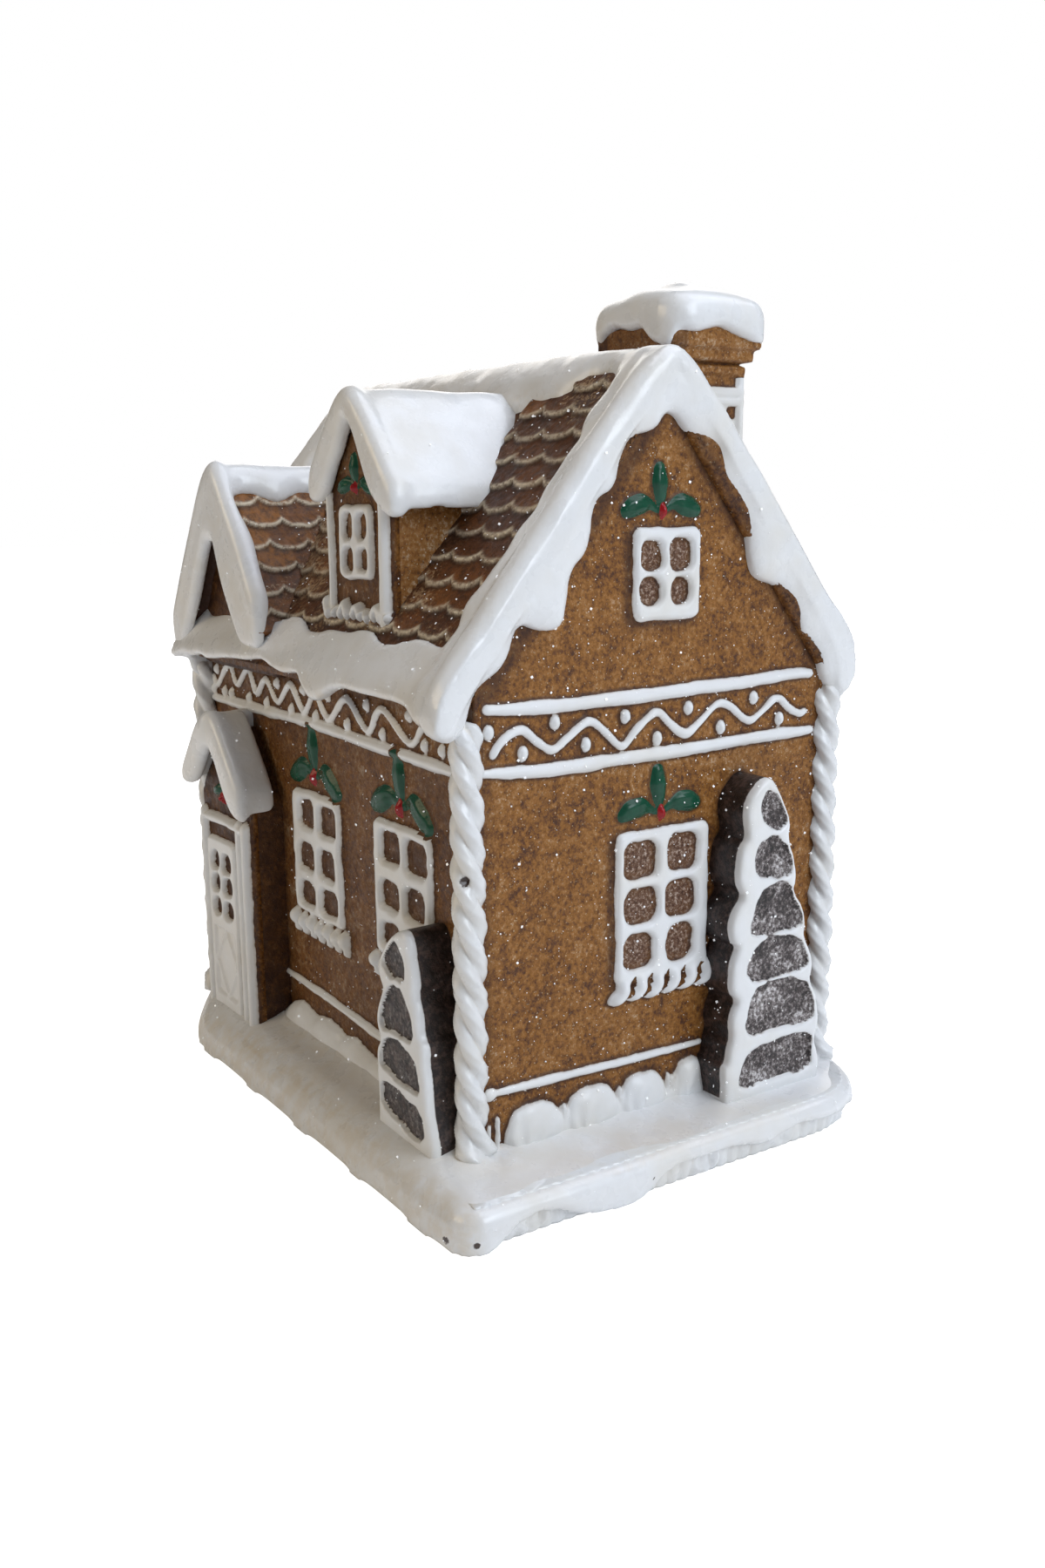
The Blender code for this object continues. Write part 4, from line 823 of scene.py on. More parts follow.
def long_wall(name, fr, seed, front):
    R = Relief(-47.2, 47.2, 5.0, 77.2, 0.44 if front else 0.58, seed)
    U, V = R.all()
    R.H += 0.10 * noise2(U, V, 9.0, seed + 1) + 0.06 * noise2(U, V, 2.4, seed + 2)
    R.A["frost"] += 0.75 + 0.3 * noise2(U, V, 10.0, seed + 20)
    # painted shade: the whole long wall is darkened, with noise
    R.A["wash_and_shade"] += 0.62 + 0.16 * noise2(U, V, 11.0, seed + 21)
    zig = FRONT_ZIG if front else [(44 - 88 * i / 16, 67.3 if i % 2 else 64.3) for i in range(17)]
    ups = [p for p in zig if p[1] > 66]
    downs = [p for p in zig if p[1] < 65.3]
    band(R, -45, 45, zig, [(u + 0.2, 64.1) for u, v in ups], [(u, 67.9) for u, v in downs],
         [(-45.2, 62.4), (-22.9, 62.5), (-3.7, 62.7), (16.3, 62.1), (31.0, 61.8), (45.2, 61.4)],
         [(-45.2, 71.4), (-15.0, 71.6), (15.0, 71.2), (45.2, 71.2)])
    for c in ((-1.9, 27.3) if front else (-21.0, 21.0)):
        f = c + 0.1
        R.window(c - 8.7, c + 8.7, 29.6, 51.2, [(f - 6.5, f - 0.7, 44.7, 49.5), (f + 1.0, f + 7.4, 44.5, 49.4), (f - 7.1, f - 1.2, 37.4, 41.8), (f + 0.7, f + 6.4, 37.3, 42.0), (f - 7.2, f - 1.2, 31.2, 35.1), (f + 0.9, f + 7.2, 31.2, 35.2)],
                 rp=1.3, ro=1.4, half=0.7, pane_shade=0.86)
        blob_sill(R, c - 9.2, c + 9.2, 28.2)
        holly(R, c - 0.6, 53.6, 1.2, 0.9)
        # wash and painted shade round each window
        around = np.exp(-np.clip(rrect(U, V, c - 8.7, c + 8.7, 26.4, 51.2, 1.0), 0, 99) / 1.8) * 0.6
        R.A["wash_and_shade"] = np.maximum(R.A["wash_and_shade"], np.where(R.L["icing"] > 0.4, around * (R.A["pane"] < 0.5), R.A["wash_and_shade"]))
    if front:
        piped(R, [(-17.0, 16.4), (0.8, 16.0), (16.8, 15.2), (28.0, 14.8)], 0.8, 1.0)
        # a soft bank of snow along the foot
        top = np.interp(U[:, 0], [-47.2, -19.5, -16.5, -14.5, -10.5, -6.2, -4.6, 0.0, 4.2, 5.8, 9.8, 14.2, 15.8, 20.4, 25.2, 27.0, 31.0, 47.2], [9.6, 9.6, 10.0, 11.6, 12.7, 11.8, 11.6, 12.6, 11.9, 11.4, 12.2, 11.5, 11.0, 11.9, 11.2, 10.0, 9.2, 8.6])[:, None]
        q = V - top + 0.25 * noise2(U, V, 3.0, 77)
        t = np.clip(1 + q / 5.5, 0, 1)
        R.H = np.where(q < 0, np.maximum(R.H, 2.3 * (1 - t ** 2.6) ** 0.55), R.H)
        R.L["icing"] = np.where(q < 0.8, np.minimum(R.L["icing"], q * 0.8), R.L["icing"])
        # painted shadow beside the tree and beside the porch, kept off the snow bank
        near = poly_sd(np.array(TREE_FRONT), U[::2, ::2], V[::2, ::2])
        near = np.repeat(np.repeat(near, 2, 0), 2, 1)[:U.shape[0], :U.shape[1]]
        dark = np.maximum(0.97 * np.exp(-np.clip(near, 0, 99) / 0.8), 0.95 * np.exp(-np.abs(U + 16.6) / 1.6) * (V < 50))
        dark = np.where((q < 0.3) & (U < 27.5), 0.0, dark)
        R.A["wash_and_shade"] = np.maximum(R.A["wash_and_shade"], np.minimum(dark, 0.97))
    else:
        piped(R, [(-45.0, 15.2), (-15.0, 14.8), (15.0, 15.2), (45.0, 14.8)], 0.8, 1.0)
        shell_lace(R, [(-43.4 + 9.8 * i, -34.6 + 9.8 * i, 12.2) for i in range(9)], [(-44.1 + 9.8 * i, 10.8) for i in range(10)])
    # painted shade at the wall's ends beside the columns
    edge = np.exp(-np.clip(45.6 - np.abs(U), 0, 99) / 1.2)
    R.A["wash_and_shade"] = np.maximum(R.A["wash_and_shade"], edge * 0.75)
    return R.mesh(name, fr, lambda u, v: (np.abs(u) < 47.0) & (v < 76.6), M_GINGER)


gable_wall("wall_gable", GABLE, 1, True)
gable_wall("wall_far_gable", FAR, 2, False)
long_wall("wall_door_side", FRONT, 3, True)
long_wall("wall_back", BACK, 4, False)


# ------------------------------------------------------------------ tiles
def tile_relief(name, fr, u0, u1, v0, v1, first, step, seed, course=4.38, width=7.6, lip=0.85, round_=1.9, frost=0.35, tone0=0.35, lipk=0.6, mask=None):
    R = Relief(u0, u1, v0, v1, step, seed)
    U, V = R.all()
    H = np.full(U.shape, -9.0, f4)
    tone = np.zeros(U.shape, f4)
    lipv = np.zeros(U.shape, f4)
    wash_and_shade = np.zeros(U.shape, f4)
    rng = np.random.RandomState(seed + 70)
    j_first = int(math.floor((-v1 - first) / course)) - 1
    j_last = int(math.ceil((-v0 - first) / course)) + 1
    seen = np.zeros(U.shape, bool)
    for j in range(j_first, j_last + 1):
        shift = 0.5 * width * (j % 2) + rng.rand() * 0.5
        k = np.floor((U - shift) / width)
        loc = (U - shift) / width - k - 0.5
        h1 = np.sin(k * 12.9898 + j * 78.233 + seed) * 43758.5453
        r1 = h1 - np.floor(h1)
        h2 = np.sin(k * 39.346 + j * 11.135 + seed) * 24634.6345
        r2 = h2 - np.floor(h2)
        s = np.clip(np.abs(loc) * 2, 0, 1)
        sag = round_ * (1 - np.sqrt(np.clip(1 - (s * 0.985) ** 2.2, 0, 1)))
        edge = -(first + j * course) + sag + 0.25 * (r1 - 0.5) + 0.12 * noise2(U, V, 1.5, seed + 5)
        d = V - edge
        hgt = lip * (1.05 - np.clip(d, 0, 99) / (1.9 * course)) + 0.14 * (r2 - 0.5) - 0.10 * s ** 3
        rnd = np.clip(d / 0.55, 0, 1)
        hgt = hgt - 0.30 * (1 - np.sqrt(1 - (1 - rnd) ** 2)) * (d < 0.55)
        take = (d > 0) & ~seen
        H = np.where(take, hgt, H)
        tone = np.where(take, np.clip(tone0 + 0.5 * (r1 - 0.5) + 0.12 * np.clip(1 - d / 3, 0, 1), 0, 1), tone)
        lipv = np.where(take, np.exp(-((d - 0.26) / 0.31) ** 2) * lipk * (0.7 + 0.4 * r2), lipv)
        seen |= take
        # a dark band beside each tile lip: wash and painted shadow
        if j < j_last:
            below = (~seen) & (d > -1.1)
            wash_and_shade = np.where(below, np.maximum(wash_and_shade, 0.95 * np.exp(d / 0.55)), wash_and_shade)
    R.H[:] = H + 0.07 * noise2(U, V, 0.9, seed + 9)
    R.A["tone"][:] = tone
    R.A["lip"][:] = lipv
    R.A["wash_and_shade"][:] = np.clip(wash_and_shade, 0, 0.9)
    R.A["frost"][:] = np.clip(frost + 0.55 * noise2(U, V, 9.0, seed + 12) + 0.25 * noise2(U, V, 3.0, seed + 13), 0, 1)
    return R.mesh(name, fr, mask or (lambda u, v: u > -1e9), M_TILE, back=-1.5)


def covered(u, v):
    """Front roof slope cells that stay in the open: not under the wing or dormer."""
    y, z = COS * v, RIDGE + SIN * v
    wing = (z < 104.6 - 1.45 * np.abs(u + 28.8) - 3.0) & (y > -31.0)
    dorm = (np.abs(u - 11.8) < 9.4) & (y > -29.0)
    return ~(wing | dorm)


tile_relief("tiles_door_side", ROOF_FRONT, -43.6, 43.6, -56.5, -5.5, 7.9, 0.38, 21, frost=0.45, lip=1.05, lipk=0.85, mask=covered)
tile_relief("tiles_back", ROOF_BACK, -43.6, 43.6, -56.5, -5.5, 7.9, 0.56, 22, frost=0.4, lip=1.05, lipk=0.85)
WC = 1 / math.hypot(1, 1.55)
WS = 1.55 * WC
for tag, sx, seed in (("right", 1, 23), ("left", -1, 24)):
    fr = frame_of((-28.8, 0, 102.6), (0, sx, 0), (-sx * WC, 0, WS), (sx * WS, 0, WC))

    def wmask(u, v, sx=sx):
        y = sx * u
        z = 102.6 + WS * v
        return (z > RIDGE - PITCH * np.abs(y) - 2.5) & (y < 0)
    tile_relief("tiles_wing_" + tag, fr, -38.0 if sx > 0 else 8.0, -8.0 if sx > 0 else 38.0, -31.0, -2.0, 2.3, 0.3, seed, course=4.35, width=7.0, lip=1.0, round_=2.0, frost=0.12, tone0=0.78, lipk=1.15, mask=wmask)


# ------------------------------------------------------------------ roof board
def loft(name, rings, material, attrs=None):
    V = np.array(rings, float).reshape(-1, 3)
    m, n = len(rings), len(rings[0])
    Q = [[i * n + j, i * n + (j + 1) % n, (i + 1) * n + (j + 1) % n, (i + 1) * n + j] for i in range(m - 1) for j in range(n)]
    return mesh_object(name, V, Q, material, attrs, ngons=[list(range(n))[::-1], [(m - 1) * n + j for j in range(n)]], smooth=False)


def board_field():
    h = 0.7
    for tag, x0, x1 in (("gable", 44.0, 49.5), ("far", -49.5, -44.0)):
        lo = (x0, -40.0, 66.0)
        X, Y, Z = grid(lo, (x1, 40.0, 119.0), h)
        P = (Z - (RIDGE - PITCH * np.abs(Y))) * COS
        a = np.abs(X)
        deep = np.where(Y * np.sign(x0) < 0, 3.1, 4.9)
        D = smax(smax(P + 0.45, -P - deep, 0.8), np.abs(Y) - 37.2, 0.8)
        D = smax(D, a - 48.35 + 0.12 * noise3(X, Y, Z, 2.0, 3), 0.8)
        D = np.maximum(D, 45.0 - a)
        groove = np.hypot((a - 48.4), (P + deep - 0.9)) - 0.36
        D = smax(D, -groove, 0.25)
        D = np.maximum(D, 70.6 - Z)

        def vals(V):
            P = (V[:, 2] - (RIDGE - PITCH * np.abs(V[:, 1]))) * COS
            d = np.where(V[:, 1] * np.sign(x0) < 0, 3.1, 4.9)
            # painted shade: a base darkening, darker in the groove and along the snow's edge
            return {"wash_and_shade": np.clip(0.25 + 0.7 * np.exp(-np.abs(P + d - 0.9) / 0.4) + 0.4 * np.exp(-np.abs(P + 0.9) / 0.7), 0, 0.97), "frost": np.full(len(V), 0.1)}
        sdf_object("board_" + tag, D.astype(f4), lo, h, M_GINGER, vals)


board_field()
d0 = 0.5 / COS
half_sec = [(37.0, RIDGE - PITCH * 37.0 - d0), (2.6, RIDGE - PITCH * 2.6 - d0)]
under = [(3.0, RIDGE - 12.5), (32.4, RIDGE - PITCH * 32.4 - 6.6), (33.4, 70.5), (36.8, 70.5)]
sec = half_sec + [(-y, z) for y, z in half_sec[::-1]] + [(-y, z) for y, z in under[::-1]] + under
# painted shade: the board's underside is darkened all over
loft("roof_board", [[(x, y, z) for y, z in sec] for x in np.linspace(-46.5, 46.5, 40)], M_GINGER, {"wash_and_shade": 0.6})

# ------------------------------------------------------------------ snow on the main roof
OUT = [(-37.9, 66.6), (-39.4, 67.6), (-39.9, 69.8), (-39.9, 72.0), (-39.3, 74.2), (-37.8, 76.3), (-35.5, 78.7), (-30.0, 85.5), (-20.0, 98.2), (-12.0, 108.4), (-8.2, 113.0), (-6.0, 115.4), (-3.4, 117.2), (0.0, 117.9),
       (2.0, 117.1), (4.2, 115.4), (7.7, 111.6), (13.5, 104.8), (17.9, 99.6), (24.5, 91.5), (30.0, 84.2), (33.4, 79.2), (35.2, 75.6), (36.5, 72.2), (36.9, 69.8), (36.5, 67.6), (35.4, 66.3), (33.9, 66.7)]
IN_R = [(32.6, 68.4), (31.2, 70.8), (30.4, 74.0), (28.2, 76.2), (26.2, 77.9), (25.1, 81.9), (21.3, 85.2), (16.9, 86.2), (15.6, 88.4), (14.8, 94.5), (12.2, 98.4), (9.2, 101.4), (8.6, 105.4), (6.1, 106.0), (2.6, 107.6), (0.9, 109.8), (-1.2, 109.9)]
IN_L = [(-2.6, 107.4), (-7.0, 106.6), (-8.9, 103.4), (-9.8, 99.2), (-13.6, 98.2), (-14.3, 91.2), (-17.4, 88.6), (-18.0, 84.2), (-18.8, 80.7), (-22.4, 80.4), (-26.3, 82.2), (-28.0, 76.4), (-32.2, 74.0), (-33.6, 72.0), (-34.6, 68.4), (-36.2, 66.7)]
RAKE = chaikin(OUT + IN_R + IN_L, 2)
EAVE_PTS = [(-49.4, 70.0), (-47.0, 70.4), (-43.4, 71.4), (-40.0, 71.0), (-37.0, 71.8), (-33.0, 71.2), (-30.1, 71.6), (-20.5, 72.2), (-10.1, 72.8), (-4.6, 71.9), (-0.5, 71.7), (4.8, 72.2), (7.6, 70.6), (9.5, 69.0), (11.4, 68.4), (13.2, 68.8),
            (15.6, 70.4), (19.3, 71.4), (26.0, 71.2), (32.3, 71.2), (38.4, 71.1), (41.0, 70.4), (43.1, 69.1), (46.8, 67.7), (49.4, 67.2)]


def smoothed(a, w, s_):
    k = np.exp(-np.arange(-w, w + 1) ** 2 / s_)
    return np.convolve(np.pad(a, w, mode="edge"), k / k.sum(), "valid")


def main_snow():
    h = 0.56
    lo = (-49.9, -41.2, 64.5)
    X, Y, Z = grid(lo, (49.9, 41.2, 120.8), h)
    y2, z2 = Y[0], Z[0]  # (ny,1), (1,nz)
    x1 = X[:, 0, 0]
    ya = np.abs(y2)
    P = ((z2 - (RIDGE - PITCH * ya)) * COS).astype(f4)
    soft = ((z2 - (123.26 - PITCH * np.sqrt(y2 ** 2 + 3.75 ** 2))) * COS).astype(f4)
    # rake bands, with a pillowed front apron
    rake = poly_sd(RAKE, y2, z2)
    rake_b = poly_sd(RAKE * np.array([-1, 1]), y2, z2)
    xa = np.abs(X)
    out = None
    for sgn, O in ((1, rake), (-1, rake_b)):
        O = O[None]
        pillow = 1.55 * (1 - np.exp(-np.maximum(-O, 0) / 2.0))
        xs = X * sgn
        apron = smax(O + 0 * xs, xs - (47.95 + pillow), 0.7)
        apron = np.maximum(apron, 46.0 - xs)
        xin = 41.4 + 0.9 * wave(y2 * 0.33, 1.1 * sgn) + 0.5 * wave(y2 * 0.9, 0.3)
        top = smax(smax(soft[None], xin[None] - xs, 2.4), xs - 49.35, 1.8)
        top = np.maximum(top, -P[None] - 1.3)
        reach = np.where(y2[None] * sgn < 0, 39.4, 37.3)
        top = smax(smax(top, ya[None] - reach, 1.8), 69.4 - Z, 1.6)
        side = smin(top, apron, 1.1)
        out = side if out is None else np.minimum(out, side)
    # ridge cap
    af = np.interp(x1, [-49, -10, -4, 2, 14.8, 19.9, 24.3, 28.8, 32.1, 35.2, 38.7, 43], [6.2, 5.4, 6.4, 5.6, 6.3, 5.2, 6.2, 6.2, 4.5, 2.9, 3.5, 6.0])
    ab = 5.6 + 1.2 * wave(x1 * 0.3, 2.4)
    af = smoothed(af, 8, 18.0)
    a = np.where(y2[None, :, :] < 0, af[:, None, None], ab[:, None, None])
    crown = smoothed(np.interp(x1, [-49, -46, -40, 31, 42.7, 46.5, 49], [118.0, 118.4, 119.4, 119.7, 119.0, 118.4, 118.0]), 8, 30.0)[:, None, None]
    ridge = smax((z2[None] - (crown + PITCH * 2.6 - PITCH * np.sqrt(y2 ** 2 + 2.6 ** 2)[None])) * COS, (ya[None] - a) * 0.85, 1.5)
    ridge = np.maximum(np.maximum(ridge, -P[None] - 1.6), xa - 47.5)
    out = smin(out, ridge, 1.6)
    # eaves: a rounded roll over the edge, dripping in places
    for sgn in (1, -1):
        yy = (-y2 * sgn)[None]
        if sgn > 0:
            low = np.interp(x1, *zip(*EAVE_PTS))
            up = 33.4 + 0.7 * wave(x1 * 0.28, 0.3)
        else:
            low = 71.4 + 0.9 * wave(x1 * 0.43, 1.7) - 2.2 * np.exp(-((x1 - 18.0) / 2.6) ** 2) - 2.6 * np.exp(-((x1 + 24.0) / 3.0) ** 2) - 3.0 * np.clip((np.abs(x1) - 43) / 5, 0, 1)
            up = 33.6 + 0.8 * wave(x1 * 0.31, 2.2)
        low = smoothed(low, 8, 8.0)[:, None, None]
        up = up[:, None, None]
        slab = smax(P[None] - 1.9, (up - yy) * 0.8, 1.4)
        edge = 40.0 - (0.0 if sgn > 0 else 3.4) * _fade(np.clip((x1 - 32.0) / 13.0, 0, 1))[:, None, None]
        slab = smax(slab, yy - edge, 2.4)
        slab = np.maximum(slab, -P[None] - 1.1)
        slab = smax(slab, low - Z, 1.4)
        drip = smax(smax(edge - 2.8 - yy, yy - edge + 0.1, 1.2), P[None] - 1.7, 1.8)
        drip = smax(drip, (low - Z) * 0.8, 1.8)
        e = np.maximum(smin(slab, drip, 1.0), xa - 49.3)
        out = smin(out, e, 1.3)
    out = out + (0.12 * noise2(X[:, :, 0], Y[:, :, 0], 6.5, 31) + 0.05 * noise2(X[:, :, 0], Y[:, :, 0], 2.6, 32))[:, :, None]
    out[0], out[-1] = 1, 1
    out = np.maximum(out, np.abs(Y) - 40.3)
    out = np.maximum(out, xa - 49.4)

    def vals(V):
        # painted shade: cream-tan along the foot of the roof snow where it meets the tiles
        return {"tan": np.exp(-np.abs((V[:, 2] - (RIDGE - PITCH * np.abs(V[:, 1]))) * COS - 0.4) / 0.6) * 0.7 * (np.abs(V[:, 0]) < 45), "chip": np.zeros(len(V))}
    # the cap is large: two pieces, one per half of the house
    n = X.shape[0] // 2
    for tag, sl, o in (("far_half", slice(0, n + 2), lo), ("gable_half", slice(n, None), (lo[0] + n * h, lo[1], lo[2]))):
        sdf_object("snow_roof_" + tag, out[sl].astype(f4).copy(), o, h, M_SNOW, vals)


main_snow()


# ------------------------------------------------------------------ snow on wing, dormer, porch
def small_roof(cx, top, half, pitch, y0, y1, thick, drips, cut, soft=1.6, h=0.52, seed=5, apron=2.2, extra=0.0, side_wave=0.7, round_end=1.6, lift=0.0, corner=0.0):
    """Snow over a small gable roof: two soft planes, a hanging front with drips, and legs with a wavy lower edge. Pairs are left, right."""
    hl, hr = half
    lo = (cx - hl - 2.5, y0 - 1.5, min(cut) - 3.5)
    hi = (cx + hr + 2.5, y1 + 0.5, top + 2.5)
    X, Y, Z = grid(lo, hi, h)
    dx = np.abs(X - cx)
    pit = np.where(X < cx, pitch[0], pitch[1])
    c = 1 / np.hypot(1, pit)
    lim = np.where(X < cx, hl, hr)
    outer = (Z - (top + pit * soft - pit * np.sqrt(dx * dx + soft * soft))) * c
    outer = outer + 0.14 * noise2(X[:, :, 0], Y[:, :, 0], 5.0, seed)[:, :, None]
    wavy = side_wave * wave(Y * 0.62, seed * 0.7) + 0.4 * noise2(X[:, :, 0], Y[:, :, 0], 3.0, seed + 1)[:, :, None]
    zcut = np.where(X < cx, cut[0], cut[1]) + wavy * np.clip((Y - y0 - 1.0) / 3.0, 0, 1) + lift * np.clip((Y - y0) / 8.0, 0, 1)
    D = smax(outer, -outer - thick, 0.7)
    D = smax(D, dx - lim, 1.4)
    D = smax(D, (zcut - Z) * 0.9, round_end)
    face = y0 + 0.9 * ((dx / lim) ** 2) * extra
    D = smax(D, face - Y, 2.8)
    D = np.maximum(D, Y - y1)
    # hanging front with drips
    prof = smoothed(np.interp(X[:, 0, 0] - cx, *zip(*drips)), 4, 5.0)[:, None, None]
    low = (top - pit * dx) - prof
    ap = smax(outer, (low - Z) * c * 1.1, 1.2)
    ap = smax(ap, face - Y, 2.2)
    ap = smax(ap, Y - (face + apron), 1.0)
    ap = smax(ap, dx - lim, 1.2)
    ap = smax(ap, zcut - Z, 1.6)
    D = smin(D, ap, 1.5)
    if corner:
        a, b = np.maximum(np.abs(Y - (y0 - 34.6) / 2) - ((-34.6 - y0) / 2 - corner), 0), np.maximum(zcut + corner - Z, 0)
        D = smax(D, np.where(X > cx, np.hypot(a, b) - corner, -9.0), 1.2)
    return D, lo, h, (X, Y, Z)


def snow_vals(V):
    return {"tan": np.zeros(len(V)), "chip": np.zeros(len(V))}


D, lo, h, _ = small_roof(11.8, 114.6, (12.6, 14.6), (1.27, 1.27), -33.3, -3.5, 2.6,
                         [(-14, 3.2), (-12.0, 3.6), (-10.4, 5.6), (-9.0, 4.6), (-7.4, 6.2), (-5.4, 5.0), (-3.0, 6.0), (-1.0, 5.0), (1.0, 3.4), (2.6, 4.0), (4.4, 5.6), (7.3, 7.2), (9.4, 5.8), (11.5, 4.4), (15, 2.6)],
                         (97.6, 95.4), soft=3.6, seed=6, round_end=2.0)
sdf_object("snow_dormer", D.astype(f4), lo, h, M_SNOW, snow_vals, 3)

D, lo, h, (X, Y, Z) = small_roof(-28.8, 104.4, (20.8, 17.4), (1.47, 1.55), -38.8, -6.0, 2.4,
                                 [(-21, 9.0), (-18, 8.5), (-14, 8.0), (-11, 8.6), (-8, 8.2), (-5, 8.0), (-3.1, 8.0), (-0.7, 13.0), (3.5, 16.5), (7.6, 16.0), (12, 14.5), (15, 13.0), (17.4, 11.0)],
                                 (71.2, 74.2), soft=3.4, seed=8, round_end=2.6)
dx = np.abs(X + 28.8)
# only a band along the rake and one along the ridge
keep = smin(Y + 35.4 + 0.6 * wave(Z * 0.33, 0.6), dx - (3.6 + 0.8 * wave(Y * 0.42, 0.9)), 1.8)
D = smax(D, keep * 0.9, 1.4)
sdf_object("snow_wing", D.astype(f4), lo, h, M_SNOW, snow_vals, 3)

D, lo, h, _ = small_roof(-27.8, 62.2, (12.2, 12.6), (1.22, 1.30), -42.4, -31.0, 3.2,
                         [(-13.8, 3.0), (-11, 5.0), (-8, 4.6), (-5, 5.4), (-2, 5.2), (0, 6.4), (2.5, 5.4), (6, 6.2), (9, 5.6), (13.8, 3.6)],
                         (48.0, 43.4), soft=3.4, seed=9, side_wave=0.2, round_end=3.0, lift=0.0, corner=3.9)
sdf_object("snow_porch", D.astype(f4), lo, h, M_SNOW, snow_vals, 3)


# ------------------------------------------------------------------ bodies of wing, dormer and porch
def gable_box(name, cx, half, y0, y1, z0, z1, top, wash_and_shade=0.3, frost=0.4, h=0.8, foot=4.0):
    lo = (cx - half - 1.5, y0 - 1.5, z0 - 1.0)
    X, Y, Z = grid(lo, (cx + half + 1.5, y1 + 1.0, top + 1.5), h)
    dx = np.abs(X - cx)
    p = (top - z1) / half
    D = smax(dx - half, (Z - (top - p * dx)) / math.hypot(1, p), 0.6)
    D = smax(D, y0 - Y, 0.7)
    D = np.maximum(np.maximum(D, Y - y1), z0 - Z)
    D = D + 0.08 * noise3(X, Y, Z, 3.0, 4)

    def vals(V):
        # painted shade: the body is darkened overall by its given amount, more at its foot and along its front edge
        e = np.exp(-np.clip(V[:, 2] - z0 - 1.0, 0, 99) / foot)
        f = np.clip((y0 + 1.2 - V[:, 1]) / 0.6, 0, 1)
        return {"wash_and_shade": np.clip(wash_and_shade + 0.5 * e + 0.6 * f, 0, 0.95), "frost": np.full(len(V), frost)}
    sdf_object(name, D.astype(f4), lo, h, M_GINGER, vals)


gable_box("dormer_body", 11.8, 10.3, -30.9, -6.0, 76.0, 98.2, 111.4, 0.05, 1.1)
gable_box("wing_body", -28.8, 16.4, -34.6, -6.0, 69.0, 75.6, 101.0, 0.72, 0.1)
gable_box("porch_body", -27.4, 10.8, -38.9, -30.0, 4.6, 47.6, 59.4, 0.84, 0.0)

# dormer face
DF = frame_of((11.8, -30.9, 0), (1, 0, 0), (0, 0, 1), (0, -1, 0))
R = Relief(-10.2, 10.2, 78.0, 108.0, 0.26, 31)
U, V = R.all()
R.H += 0.06 * noise2(U, V, 2.0, 3)
R.A["frost"] += 0.3
# painted shade over the whole face
R.A["wash_and_shade"] += 0.78
R.window(-5.2, 5.2, 86.4, 97.6, [(-3.9, -0.7, 92.6, 96.5), (0.5, 3.8, 92.5, 96.4), (-4.0, -0.8, 87.6, 91.0), (0.5, 3.9, 87.7, 91.2)], ro=1.6, rp=1.2, half=0.7, pane_shade=1.0)
holly(R, -0.2, 100.0, 0.72, 0.5)
R.stroke(curve([(-8.6, 80.5), (-8.5, 88.0), (-8.8, 99.0)]), 0.75, 1.1)
R.stroke(curve([(8.9, 80.0), (9.0, 88.0), (9.0, 99.0)]), 1.15, 1.5)
ledge = 82.6 + 0.9 * wave(U * 1.1, 0.4) + 0.5 * noise2(U, V, 1.4, 91)
q = np.maximum(V - ledge, (80.6 + 0.9 * np.sin(U * 2.9) + 0.6 * noise2(U, V * 0, 1.0, 92)) - V)
t = np.clip(1 + q / 1.3, 0, 1)
R.H = np.where(q < 0, np.maximum(R.H, 1.9 * (1 - t ** 2.3) ** 0.6), R.H)
R.L["icing"] = np.minimum(R.L["icing"], q)
R.mesh("dormer_face", DF, lambda u, v: v < 111.0 - 1.27 * np.abs(u), M_GINGER)

# wing gable
WF = frame_of((-28.8, -34.6, 0), (1, 0, 0), (0, 0, 1), (0, -1, 0))
R = Relief(-16.2, 16.2, 70.0, 101.0, 0.4, 32)
U, V = R.all()
R.H += 0.10 * noise2(U, V, 3.0, 6)
# painted shade over the whole face
R.A["wash_and_shade"] += 0.80
piped(R, [(-15.6, 72.2), (-5.0, 72.5), (6.0, 72.2), (15.6, 72.4)], 1.2, 1.6)
R.mesh("wing_face", WF, lambda u, v: v < 100.4 - 1.50 * np.abs(u), M_GINGER)

# porch face and door
PF = frame_of((-27.4, -38.9, 0), (1, 0, 0), (0, 0, 1), (0, -1, 0))
R = Relief(-10.7, 10.7, 4.8, 58.0, 0.30, 33)
U, V = R.all()
R.H += 0.06 * noise2(U, V, 2.0, 7)
# painted shade over the whole face
R.A["wash_and_shade"] += 0.82
door = []
for i in range(2):
    for j in range(3):
        a, b = (-6.2, -2.6) if i == 0 else (-1.4, 2.8)
        lo_, hi_ = 24.2 + j * 4.3, 27.4 + j * 4.3
        door.append([(a, lo_), (b, lo_ + 0.5), (b, hi_ + 0.5), (a, hi_)])
R.window(-8.0, 4.8, 4.0, 39.0, door, ro=1.2, half=0.7, pane_shade=0.95)
